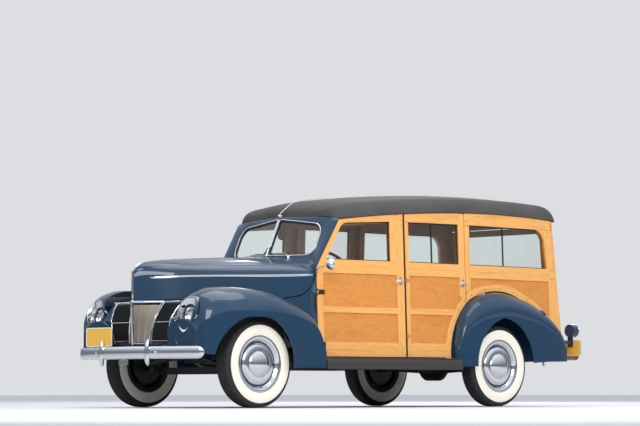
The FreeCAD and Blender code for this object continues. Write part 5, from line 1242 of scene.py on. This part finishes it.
# Driver's mirror on the door's hinge side: arm and round head, turning with the door
headAt, headWay = Vector((0.806, 0.762, 1.198)), (-1, -0.10, 0.0)
armFoot = Vector((0.826, bodySkin(0.826, 1.166), 1.166))
armPath = [armFoot + Vector((0.0, -0.004, 0.0)), armFoot + Vector((0.006, 0.030, 0.008)),
           headAt + Vector((0.034, -0.040, -0.014)), headAt + Vector((0.022, -0.004, -0.002))]
bowlProfile = [(0.0, -0.030), (0.016, -0.0275), (0.031, -0.019), (0.043, -0.006), (0.0495, 0.006), (0.0505, 0.012),
               (0.047, 0.0135), (0.0, 0.0125)]
glassProfile = [(0.0, 0.0130), (0.0455, 0.0138), (0.0455, 0.0148), (0.0, 0.0148)]
armProfile = [(0.0, 0.012), (0.008, 0.010), (0.012, 0.004), (0.013, -0.008), (0, -0.008)]
mirrorSilver = newMaterial("mirrorSilver", (0.86, 0.88, 0.90), Metallic=1.0, Roughness=0.02)
pieceFrom("doorMirror", [turned(headAt, headWay, bowlProfile, 44), turned(headAt, headWay, glassProfile, 44, 1),
                         tube(softCurve(armPath, 14), 0.0052, 10), turned(armFoot, (0.1, 1, 0), armProfile, 20)],
          [chrome, mirrorSilver], "front_door_left")
print("windscreen trimmed")

# Windscreen frame: painted band from the panes' edges out to the doors and the roof
frameForm = {"doorX": 0.8335, "top": (0.5800, 1.603), "ahead": 0.036, "steps": 8, "wall": 0.012}
headerEdge = [(0.548, 0.618, 1.6140), (0.572, 0.598, 1.6155), (0.594, 0.560, 1.619), (0.606, 0.500, 1.625),
              (0.612, 0.400, 1.631), (0.613, 0.280, 1.635), (0.613, 0.140, 1.638), (0.613, 0.000, 1.638)]
# share of the way out, lift and share of the edge's lead of the band's crown: foot, side, head, centre
frameCrown = [(0.60, 0.000, 0.0), (0.84, 0.018, 1.05), (0.62, 0.006, 0.0), (0.50, 0.000, 0.0)]


def evenCount(points, count):
    fine = evenPoints(points, sum((Vector(b) - Vector(a)).length for a, b in zip(points, points[1:])) / 600)
    return [fine[round(index * (len(fine) - 1) / (count - 1))] for index in range(count)]


def cutAway(name, boxes):
    # copy of a node's mesh, less the space of some convex blocks
    mesh = nodes[name].data.copy()
    welded = bmesh.new()
    welded.from_mesh(mesh)
    bmesh.ops.remove_doubles(welded, verts=welded.verts, dist=0.00002)
    welded.to_mesh(mesh)
    welded.free()
    piece = placed(name + "Cut", mesh)
    cutters = []
    for points, faces in boxes:
        space = bpy.data.meshes.new("cutter")
        space.from_pydata(points, [], faces)
        cutter = placed("cutter", space)
        cut = piece.modifiers.new("cut", "BOOLEAN")
        cut.operation, cut.solver, cut.object = "DIFFERENCE", "EXACT", cutter
        cutters.append(cutter)
    shaped = bpy.data.meshes.new_from_object(piece.evaluated_get(bpy.context.evaluated_depsgraph_get()))
    for cutter in cutters:
        bpy.data.objects.remove(cutter)
    piece.modifiers.clear()
    piece.data = shaped
    smoothByAngle(shaped)
    return piece


def prismAcross(profile, y1, y2):
    # a block across the car from an outline of x, z
    return [(x, y, z) for y in (y1, y2) for x, z in profile], prismFaces(len(profile))


headSpace = [(0.30, 1.262), (0.30, 1.80), (0.70, 1.80), (0.875, 1.262)]
footSpace = [(0.30, 1.212), (0.30, 1.30), (0.862, 1.30), (0.862, 1.212)]
cowlCut = cutAway("cowl", [prismAcross(headSpace, -0.8, 0.8), prismAcross(footSpace, 0.50, 0.80),
                           prismAcross(footSpace, -0.80, -0.50)])
cowlCut.data.materials.clear()
cowlCut.data.materials.append(paintBlue)
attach(cowlCut, "car")
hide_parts("cowl")

scuttleLine = []
for y in (0.0007, 0.10, 0.20, 0.30, 0.40, 0.46, 0.51, 0.55):
    x = screenForm["baseX"] - screenForm["sweep"] * y + frameForm["ahead"]
    hit = hitOn(["cowl"], (x, y, 1.50), (0, 0, -1))
    if hit:
        scuttleLine.append((x, y if y > 0.001 else 0.0, hit[0].z - 0.003))
scuttleLine.append((0.868, bodySkin(0.868, 1.150) - 0.006, 1.150))
doorX = frameForm["doorX"]
doorLine = alongLine((doorX, 1.105), (doorX, 1.170), 3) + alongLine((doorX, 1.180), frameForm["top"], 12)
doorLine = [(x, bodySkin(x, z) - 0.001, z) for x, z in doorLine]
stretchCount = [26, 26, 26, 10]
corners = [(0.014, 0.008), (0.4921, 0.0245), (0.4850, 0.2380), (0.014, 0.320)]
marks = [min(range(len(paneEdge)), key=lambda k: (Vector(paneEdge[k]) - Vector(place)).length) for place in corners]
outerStretches = [scuttleLine + [doorLine[0]], doorLine + [headerEdge[0]], headerEdge,
                  [headerEdge[-1]] + [tuple(onScreen(0.0, up, 0.002)) for up in (0.30, 0.15, 0.0)] + [scuttleLine[0]]]
ring = []
for index, count in enumerate(stretchCount):
    first, last = marks[index], marks[(index + 1) % 4]
    last += 1 if last > first else 1 + len(paneEdge)
    inside = evenCount([(*paneEdge[k % len(paneEdge)], 0.0) for k in range(first, last)], count)
    outside = evenCount(outerStretches[index], count)
    ring += [(inside[k], outside[k], frameCrown[index]) for k in range(count - 1)]
framePoints = []
lean = onScreen(0.1, 0.1, 1.0) - onScreen(0.1, 0.1, 0.0)
for index, (inside, outside, _) in enumerate(ring):
    near = [ring[(index + k) % len(ring)][2] for k in range(-5, 6)]
    share, lift, follow = [sum(row[k] for row in near) / len(near) for k in (0, 1, 2)]
    edge = onScreen(inside.x, inside.y, 0.002)
    reach = outside - edge
    level = reach - lean * reach.dot(lean)
    start = edge + level.normalized() * min(0.010, level.length * 0.5)
    reach = outside - start
    lead = reach.dot(lean)
    bend = start + (reach - lean * lead) * share + lean * (lift + max(lead, 0.0) * follow)
    framePoints += [tuple(onScreen(inside.x, inside.y, -0.024)), tuple(edge)]
    for t in spread(0, 1, frameForm["steps"] + 1):
        framePoints.append(tuple(start * (1 - t) ** 2 + bend * 2 * t * (1 - t) + outside * t ** 2))
frameFaces = facing(framePoints, gridFaces(len(ring), frameForm["steps"] + 3, True, False), lean, 4)
for piece in bothSides("screenFrame", [(framePoints, frameFaces, None, 0)], [paintBlue], sharp=50.0):
    wall = piece.modifiers.new("wall", "SOLIDIFY")
    wall.thickness, wall.offset = frameForm["wall"], -1.0
print("windscreen frame done")

# Bumpers: full rounded bars bowed in plan, tall guards, plate frames
bumperForms = {
    # reach from the origin, bow, half width, foot z, height, depth, way it faces
    "front": {"tip": 2.4310, "bow": 0.190, "half": 0.785, "low": 0.396, "tall": 0.104, "deep": 0.046, "way": 1},
    "rear": {"tip": 2.4310, "bow": 0.070, "half": 0.785, "low": 0.420, "tall": 0.104, "deep": 0.034, "way": -1},
}
barForm = {"rows": 61, "around": 24, "square": 0.80, "end": 0.050, "back": 0.55}
guardForm = {"spread": 0.293, "tall": 0.216, "wide": 0.046, "rows": 25, "around": 20, "square": 0.75,
             "front": 0.022, "back": 0.020, "set": 0.006, "curl": 0.008, "belly": 0.22}


def barFront(form, y):
    # how far the bar's face stands from the origin, at a distance from the middle
    radius = (form["half"] ** 2 + form["bow"] ** 2) / (2 * form["bow"])
    return form["tip"] - (radius - math.sqrt(radius ** 2 - y ** 2))


def bumperBar(form):
    rows, around, end = barForm["rows"], barForm["around"], barForm["end"]
    middle = form["low"] + form["tall"] / 2
    points = []
    for index in range(rows):
        y = math.sin(math.pi / 2 * (2 * index / (rows - 1) - 1)) * form["half"]
        # the ends close in a half round
        ease = math.sqrt(max(0.0, 1.0 - max(0.0, (abs(y) - form["half"] + end) / end) ** 2))
        for a in circle(around):
            lift = powerOf(math.sin(a), barForm["square"]) * form["tall"] / 2 * max(ease, 0.02)
            out = powerOf(math.cos(a), barForm["square"]) * form["deep"] / 2 * max(ease, 0.05)
            out *= barForm["back"] if out < 0 else 1
            points.append(((barFront(form, y) - form["deep"] / 2 + out) * form["way"], y, middle + lift))
    faces = gridFaces(rows, around, False, True)
    faces += [tuple(range(around)), tuple(reversed(range((rows - 1) * around, rows * around)))]
    return points, faces if form["way"] > 0 else backward(faces), None, 0


def guard(form, side):
    # upright guard: a swelling blade, wrapped over the bar's face
    y = side * guardForm["spread"]
    middle = form["low"] + form["tall"] / 2
    rows, around = guardForm["rows"], guardForm["around"]
    points = []
    for t in [2 * index / (rows - 1) - 1 for index in range(rows)]:
        ease = math.sqrt(max(0.0, 1 - abs(t) ** 4.5))
        belly = 1 - guardForm["belly"] * t * t
        for a in circle(around):
            width = powerOf(math.sin(a), guardForm["square"]) * guardForm["wide"] / 2 * ease * belly
            out = math.cos(a)
            if out > 0:
                out = out ** guardForm["square"] * guardForm["front"] * belly * ease
            else:
                out *= guardForm["back"] * ease
            x = barFront(form, y) - guardForm["set"] + out - guardForm["curl"] * abs(t) ** 2
            points.append((min(x, form["tip"]) * form["way"], y + width, middle + t * guardForm["tall"] / 2))
    faces = gridFaces(rows, around, False, True)
    return points, faces if form["way"] > 0 else backward(faces), None, 0


def plateWithFrame(x, y1, y2, z1, z2, way):
    # blank plate in a raised pale rim with rounded corners
    def at(u, v, out):
        return Vector((x + way * out, u, v))

    flat = roundedOutline(oblong(y1, y2, z1, z2), [0.022] * 4, 6)[0]
    rim = closedStrip(flat, 0.012, 0.0045, 0.004, at, shift=-0.006, slot=1)
    inner = roundedOutline(oblong(y1 + 0.014, y2 - 0.014, z1 + 0.014, z2 - 0.014), [0.012] * 4, 5)[0]
    return [plateBetween(flat, -0.0038, 0.0008, at), rim, closedStrip(inner, 0.003, 0.0012, 0.001, at, out=0.0012)]


boltProfile = [(0.0, 0.0050), (0.007, 0.004), (0.0115, 0.0005), (0.012, -0.005), (0, -0.005)]
for label, form in bumperForms.items():
    bar = pieceFrom(label + "BumperBar", [bumperBar(form), guard(form, 1), guard(form, -1)], [chrome])
    print(label, "bumper bar reach", round(max(abs(v.co.x) for v in bar.data.vertices), 4))
    solid = nodes[label + "_bumper"].data
    armEnd = min(abs(v.co.x) for v in solid.vertices)
    armSides = [abs(v.co.y) for v in solid.vertices if abs(v.co.x) < armEnd + 0.001]
    armY = (min(armSides) + max(armSides)) / 2
    face = barFront(form, armY)
    arms, bolts = [], []
    for side in (1, -1):
        x1, x2 = sorted((armEnd * form["way"], (face - form["deep"] * 0.7) * form["way"]))
        arms.append(block((x1, side * armY - 0.020, form["low"] + 0.006),
                          (x2, side * armY + 0.020, form["low"] + 0.038)))
        boltAt = Vector((face * form["way"], side * armY, form["low"] + form["tall"] / 2))
        bolts.append(turned(boltAt, (form["way"], side * 0.2, 0), boltProfile, 20))
    roundEdges(pieceFrom(label + "BumperArms", arms, [blackSteel]), 0.002)
    pieceFrom(label + "BumperBolts", bolts, [chrome])
    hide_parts(label + "_bumper")

carReach = 2.4313  # half of the car's length
plateParts = plateWithFrame(carReach - 0.056, -0.526, -0.186, 0.5003, 0.6603, 1)
plateParts += plateWithFrame(-carReach + 0.098 - 0.004, 0.470, 0.810, 0.462, 0.606, -1)
plates = pieceFrom("plateDressing", plateParts, [plateYellow, plateBorder])
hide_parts("plates")

# Small bright tag that hangs under the front bar's middle
tagX = bumperForms["front"]["tip"] - 0.022
tag = pieceFrom("frontTag", [block((tagX - 0.004, -0.060, 0.352), (tagX, 0.060, 0.388)),
                             block((tagX - 0.0035, -0.018, 0.384), (tagX - 0.0010, 0.018, 0.402))], [chrome])
roundEdges(tag, 0.003)
print("bumpers dressed")

# Door handles, hinges, sliding-glass bars, rubbers, bolts and beads of the sides
knobProfile = [(0.0, 0.030), (0.0075, 0.029), (0.0075, 0.012), (0.012, 0.0095), (0.017, 0.007), (0.0205, 0.003),
               (0.021, -0.002), (0, -0.002)]
pinProfile = [(0, 0.003), (0.002, 0.0028), (0.0032, 0.001), (0.0032, -0.002), (0, -0.002)]
# along the lever, lift off the side, height
leverRows = [(-0.018, 0.030, 0.003), (-0.006, 0.034, 0.001), (0.012, 0.036, 0.0), (0.040, 0.035, -0.003),
             (0.068, 0.032, -0.008), (0.086, 0.029, -0.013)]
leverRadii = [0.0045, 0.0060, 0.0075, 0.0085, 0.0090, 0.0092, 0.0092, 0.0090, 0.0086, 0.0082, 0.0078, 0.0074,
              0.0070, 0.0066, 0.0062, 0.0059, 0.0056, 0.0054, 0.0053, 0.0053, 0.0050, 0.0038]
handleZ = 1.084
for body, x in (("front_door", -0.283), ("rear_door", -1.046)):
    z = handleZ
    middle = sidePoint(x, z, 0.0)
    outward = (sidePoint(x, z, 1.0) - middle).normalized()
    lever = softCurve([sidePoint(x + along, z + drop, lift) for along, lift, drop in leverRows], len(leverRadii))
    parts = [turned(middle, outward, knobProfile, 32), tube(lever, leverRadii, 14)]
    parts += [turned(sidePoint(x, z + drop, 0.0), outward, pinProfile, 10) for drop in (0.026, -0.026)]
    oval = [(x + 0.019 * math.cos(a), z + 0.034 * math.sin(a)) for a in circle(28)]
    parts.append(plateBetween(oval, 0.0, 0.0045, sidePoint))
    bothSides(body.replace("_", "") + "Handle", parts, [chrome], body)

# Black strap plates over the front door's hinges
strapParts = []
strapScrew = [(0, 0.0028), (0.0035, 0.0022), (0.0055, 0.0), (0, -0.001)]
for z in (0.530, 0.970):
    flat = roundedOutline(oblong(0.566, 0.6385, z - 0.020, z + 0.020), [0.010, 0.002, 0.002, 0.010], 4)[0]
    strapParts.append(plateBetween(flat, 0.0012, 0.0052, sidePoint))
    strapParts += [turned(sidePoint(x, z, 0.0050), (0, 1, 0.04), strapScrew, 12) for x in (0.580, 0.620)]
bothSides("hingeStrap", strapParts, [blackRubber], "front_door")

# Openings of the side windows, drawn on the side's own face
sillZ = d["beltHigh"]
windowForms = {
    # body, corners from the lower front round, corner radii, sliding bar station, corner filled with timber
    "front_door": ([(0.5385, sillZ), (-0.1775, sillZ), (-0.1775, 1.595), (0.3555, 1.565)],
                   [0.012, 0.008, 0.008, 0.050], None, 3),
    "rear_door": ([(-0.3935, sillZ), (-1.0085, sillZ), (-1.0085, 1.605), (-0.3935, 1.600)],
                  [0.006, 0.006, 0.006, 0.006], -0.684, None),
    "car": ([(-1.1505, sillZ), (-2.2205, sillZ), (-2.170, 1.605), (-1.1505, 1.605)],
            [0.006, 0.008, 0.110, 0.006], -1.609, 2),
}
for body, (corners, radii, barAt, filled) in windowForms.items():
    flat, eased = roundedOutline(corners, radii)
    name = body.replace("_", "")
    rubber = [closedStrip(flat, 0.010, 0.004, 0.010, sidePoint, out=-0.014, shift=-0.003)]
    bothSides(name + "WindowRubber", rubber, [blackRubber], body)
    if barAt:
        bar = [plateBetween(oblong(barAt - 0.008, barAt + 0.008, 1.246, 1.602), -0.0215, -0.0145, sidePoint)]
        bothSides(name + "SlidingBar", bar, [blackSteel], body)
    if filled:
        bothSides(name + "WindowCorner", [plateBetween(eased[filled], -0.0100, 0.0012, sidePoint)], [mapleFrame], body)

studs = studTree()


def studded(name, places, body, material):
    # domed heads at (point, outward) pairs
    mesh = bpy.data.meshes.new(name)
    mesh.from_pydata([tuple(p) for p, n in places], [], [])
    layer = mesh.attributes.new("outward", "FLOAT_VECTOR", "POINT")
    for index, (p, n) in enumerate(places):
        layer.data[index].vector = tuple(n)
    return grown(name, mesh, studs, body, material, Head_Radius=0.0055, Head_Height=0.0026)


sideStuds = {
    "front_door": [(-0.308, 0.452), (-0.308, 0.500), (-0.308, 1.560), (-0.308, 1.610), (0.612, 0.458), (0.612, 0.600)],
    "rear_door": [(-0.372, 0.455), (-0.372, 1.600)],
    "car": [(-1.105, 1.640), (-1.134, 1.640), (-1.105, 1.600), (-1.134, 1.600), (-2.268, 1.238), (-2.300, 1.238),
            (-2.270, 1.160), (-2.302, 1.160), (-2.288, 0.640), (-2.322, 0.640), (-2.292, 0.560), (-2.236, 1.545),
            (-2.238, 1.580)],
}
sideStuds["car"] += archBetween(-2.56, d["rearEdge"] - 0.012, 0.034, 90)[4:88:12]
sideStuds["rear_door"] += archBetween(d["rearEdge"] + 0.010, -0.82, 0.034, 60)[4:60:11]
studSteel = newMaterial("boltHeads", (0.20, 0.17, 0.14), Metallic=0.8, Roughness=0.35)
for body, places in sideStuds.items():
    out = 0.0030 if body != "front_door" else 0.0015
    for side, sign in (("left", 1), ("right", -1)):
        spots = []
        for x, z in places:
            p, n = sidePoint(x, z, out), (sidePoint(x, z, 1.0) - sidePoint(x, z, 0.0)).normalized()
            spots.append((Vector((p.x, p.y * sign, p.z)), Vector((n.x, n.y * sign, n.z))))
        rides = body if body == "car" else body + "_" + side
        studded(body.replace("_", "") + "Studs" + side.capitalize(), spots, rides, studSteel)

# Black bead between the rear fender and the timber, and the drip edge under the roof
beadPath = [sidePoint(x, z, 0.003) for x, z in archBetween(-2.62, -0.885, 0.004, 70)]
dripPath = [sidePoint(x, roofEdge(x) - 0.0005, 0.006) for x in spread(0.372, -2.300, 60)]
bothSides("fenderBead", [tube(beadPath, 0.0042, 8)], [blackRubber])
bothSides("roofDrip", [tube(dripPath, 0.0052, 8)], [blackRubber])
print("sides dressed")

# Seats: stuffed cushions and backs with sewn channels, on low wooden plinths
cushionForm = {"half": (0.250, 0.556, 0.088), "rise": 0.247, "back": -0.262, "pitch": -0.060, "depth": 0.006}
backForm = {"half": (0.060, 0.548, 0.236), "rise": 0.492, "back": -0.530, "pitch": 0.135, "depth": 0.005}
padForm = {"channels": 13, "around": 44, "along": 100, "square": 0.46, "ends": 0.42, "girth": 0.30,
           "corner": 0.06, "crown": 0.03}
plinthForm = {"behind": 0.545, "front": 0.030, "half": 0.530, "lift": 0.0005, "tall": 0.185, "round": 0.008}
seatFloor = 0.540
plinthTimber = newMaterial("plinthTimber", (0.16, 0.075, 0.035), Roughness=0.5)


def stuffed(station, form):
    # a crowned closed pad: rounded box across the car with sewn channels and softly bulging faces
    hx, hy, hz = form["half"]
    turn, around, along = form["pitch"], padForm["around"], padForm["along"]
    points = []
    for i in range(along + 1):
        across = -math.cos(math.pi * i / along)
        y = powerOf(math.sin(math.pi * (i / along - 0.5)), padForm["ends"]) * hy
        girth = abs(math.sin(math.pi * i / along)) ** padForm["girth"]
        pinch = abs(math.sin(math.pi * padForm["channels"] * (y / hy + 1) / 2)) ** 0.5
        sewn = form["depth"] * (1 - pinch)
        for a in circle(around):
            u, w = powerOf(math.cos(a), padForm["square"]), powerOf(math.sin(a), padForm["square"])
            sag = 1.0 - padForm["corner"] * (abs(u) ** 4 + abs(w) ** 4) + padForm["crown"] * (1 - across ** 2)
            x, z = hx * u * girth * sag - sewn * u, hz * w * girth * sag - sewn * w
            points.append((station + form["back"] + x * math.cos(turn) - z * math.sin(turn), y,
                           seatFloor + form["rise"] + x * math.sin(turn) + z * math.cos(turn)))
    faces = gridFaces(along + 1, around, False, True)
    faces += [tuple(range(around)), tuple(reversed(range(along * around, (along + 1) * around)))]
    middle = Vector((station + form["back"], 0, seatFloor + form["rise"]))
    index = along // 2 * around
    return points, facing(points, faces, Vector(points[faces[index][0]]) - middle, index), None, 0


for name in ("front", "middle", "rear"):
    station = max(v.co.x for v in nodes[name + "_seat"].data.vertices)
    cushion = pieceFrom(name + "SeatCushion", [stuffed(station, cushionForm)], [seatLeather], "car", 60.0)
    rest = pieceFrom(name + "SeatBack", [stuffed(station, backForm)], [seatLeather], "car", 60.0)
    base = block((station - plinthForm["behind"], -plinthForm["half"], seatFloor + plinthForm["lift"]),
                 (station - plinthForm["front"], plinthForm["half"], seatFloor + plinthForm["tall"]))
    plinth = roundEdges(pieceFrom(name + "SeatPlinth", [base], [plinthTimber]), plinthForm["round"])
    for piece in (cushion, rest, plinth):
        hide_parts(name + "_seat")
print("seats done")

# Dashboard dials with bright rims, facing the driver
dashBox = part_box("dashboard")
dialX = dashBox[0][0]
dialParts = []
for y, radius in ((0.360, 0.060), (0.215, 0.038), (-0.360, 0.045)):
    centre = Vector((dialX, y, 1.115))
    hub = centre - ahead * 0.0045
    dialProfile = [(0.0, 0.003), (radius, 0.003), (radius, -0.003), (0.0, -0.003)]
    dialParts += [turned(centre, -ahead, dialProfile, 32),
                  withSlot(hoop(centre - ahead * 0.003, radius, 0.0035, 32, 8), 1),
                  withSlot(tube([hub, hub + Vector((0, radius * 0.5, radius * 0.55))], 0.0012, 6), 2)]
pieceFrom("dashDials", dialParts, [dialFace, chrome, blackRubber])

# Tail lamp: bright rim and red lens on the drum
drumAt = Vector((-2.373, 0.700, 0.690))
redProfile = [(0.0, 0.013), (0.018, 0.0122), (0.034, 0.0092), (0.046, 0.0045), (0.050, -0.003), (0.0, -0.003)]
pieceFrom("tailLampLens", [withSlot(hoop(drumAt - ahead * 0.002, 0.0545, 0.0055, 40, 10), 1),
                           turned(drumAt, -ahead, redProfile, 40)], [redGlass, chrome])

# Black seal between the doors, ribs on the running boards, filler cap on the rear fender
sealFlat = oblong(-0.3525, -0.3305, 0.440, 1.655)
bothSides("doorGapSeal", [plateBetween(sealFlat, -0.016, -0.0035, sidePoint)], [blackSealAndShade])
boardLow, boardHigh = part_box("running_board_left")
ribs = []
for y in [boardLow[1] + (boardHigh[1] - boardLow[1]) * (k + 0.5) / 9 for k in range(9)]:
    ribs.append(block((boardLow[0] + 0.02, y - 0.004, boardHigh[2] - 0.001),
                      (boardHigh[0] - 0.02, y + 0.004, boardHigh[2] + 0.0035)))
bothSides("boardRibs", ribs, [boardRubber])
capAt = hitOn(["rear_fender_left"], (-1.80, 1.30, 0.84), (0, -1, 0))
capProfile = [(0.0, 0.016), (0.020, 0.015), (0.030, 0.011), (0.034, 0.004), (0.034, -0.006), (0.0, -0.006)]
if capAt:
    pieceFrom("fillerCap", [turned(capAt[0], capAt[1], capProfile, 36)], [paintBlue])
print("cabin and tail done")

# Pale studio: floor, backdrop, soft lamps, camera at the photograph's angle
floorShade = newMaterial("paleFloor", (0.62, 0.62, 0.63), Roughness=0.85)
# painted reflection: the floor takes a darker colour for glossy rays than for camera rays, so mirrors show it darker
# than the eye sees it
ray = nodeIn(floorShade, "ShaderNodeLightPath", (-600, 0))
floorDarkerInReflections = nodeIn(floorShade, "ShaderNodeMix", (-300, 0), data_type="RGBA")
floorDarkerInReflections.inputs["A"].default_value = (0.62, 0.62, 0.63, 1)
floorDarkerInReflections.inputs["B"].default_value = (0.48, 0.48, 0.49, 1)
wire(floorShade, ray.outputs["Is Glossy Ray"], floorDarkerInReflections.inputs["Factor"])
colourFrom(floorShade, floorDarkerInReflections.outputs["Result"])
bpy.ops.mesh.primitive_plane_add(size=90.0, location=(0, 0, -0.001))
floorSheet = bpy.context.object
floorSheet.name = "paleFloorSheet"
floorSheet.data.materials.append(floorShade)

world = bpy.data.worlds.new("paleStudio")
bpy.context.scene.world = world
world.use_nodes = True
tree = world.node_tree
tree.nodes.clear()
kinds = ("OutputWorld", "Background", "Background", "MixShader", "LightPath", "NewGeometry", "SeparateXYZ", "Math",
         "ValToRGB", "Math")
leave, light, seen, mix, path, facingNode, parts, flip, height, plain = [
    tree.nodes.new("ShaderNode" + kind) for kind in kinds]
seen.inputs["Color"].default_value = (0.72, 0.73, 0.76, 1)
seen.inputs["Strength"].default_value = 1.0
light.inputs["Strength"].default_value = 1.0
# what lights and mirrors see: dim at the level of the car's sides, bright overhead
flip.operation, plain.operation = "MULTIPLY_ADD", "MAXIMUM"
flip.inputs[1].default_value = -0.5
flip.inputs[2].default_value = 0.5
skyStops = [(0.0, (0.10, 0.10, 0.11)), (0.49, (0.16, 0.17, 0.19)), (0.54, (0.20, 0.22, 0.26)),
            (0.64, (0.52, 0.56, 0.62)), (0.80, (0.92, 0.95, 1.0)), (1.0, (0.80, 0.86, 0.96))]
while len(height.color_ramp.elements) < len(skyStops):
    height.color_ramp.elements.new(0.5)
for element, (place, colour) in zip(height.color_ramp.elements, skyStops):
    element.position = place
    element.color = (*colour, 1)
linkAll(tree, [(facingNode, "Incoming", parts, "Vector"), (parts, "Z", flip, 0), (flip, "Value", height, "Fac"),
               (height, "Color", light, "Color"), (path, "Is Camera Ray", plain, 0),
               (path, "Is Transmission Ray", plain, 1), (plain, "Value", mix, "Fac"),
               (light, "Background", mix, 1), (seen, "Background", mix, 2), (mix, "Shader", leave, "Surface")])

studioLamps = [
    # name, place, aimed at, size, power
    ("keyLamp", (7.5, 6.5, 5.5), (0.0, 0.3, 0.8), 4.5, 520.0),
    ("sideLamp", (-2.5, 9.0, 4.0), (-0.6, 0.0, 0.9), 4.0, 330.0),
    ("backLamp", (-8.0, -6.0, 5.0), (0.0, 0.0, 0.9), 4.5, 300.0),
    ("topLamp", (0.0, 0.0, 8.0), (0.0, 0.0, 0.0), 6.0, 260.0),
]
for name, place, target, size, power in studioLamps:
    data = bpy.data.lights.new(name, "AREA")
    data.shape = "SQUARE"
    data.size = size
    data.energy = power
    lamp = placed(name, data)
    lamp.location = place
    lamp.rotation_euler = (Vector(target) - Vector(place)).to_track_quat("-Z", "Y").to_euler()
    # the side lamp's own square stays out of the flat hood side
    lamp.visible_glossy = name != "sideLamp"

# Camera as solved from the photograph, in the row frame
cameraForm = {"place": (15.8391 + midShift, 16.6489, 0.14274), "turn": -2.331161, "rise": 0.0674275,
              "lens": 147.82, "sensor": 36.0, "far": 500.0}
cameraData = bpy.data.cameras.new("photoCamera")
cameraData.sensor_width = cameraForm["sensor"]
cameraData.lens = cameraForm["lens"]
cameraData.clip_end = cameraForm["far"]
camera = placed("photoCamera", cameraData)
camera.location = cameraForm["place"]
turn, rise = cameraForm["turn"], cameraForm["rise"]
look = Vector((math.cos(rise) * math.cos(turn), math.cos(rise) * math.sin(turn), math.sin(rise)))
camera.rotation_euler = look.to_track_quat("-Z", "Y").to_euler()
bpy.context.scene.camera = camera
bpy.context.scene.view_settings.view_transform = "Standard"
print("studio ready")
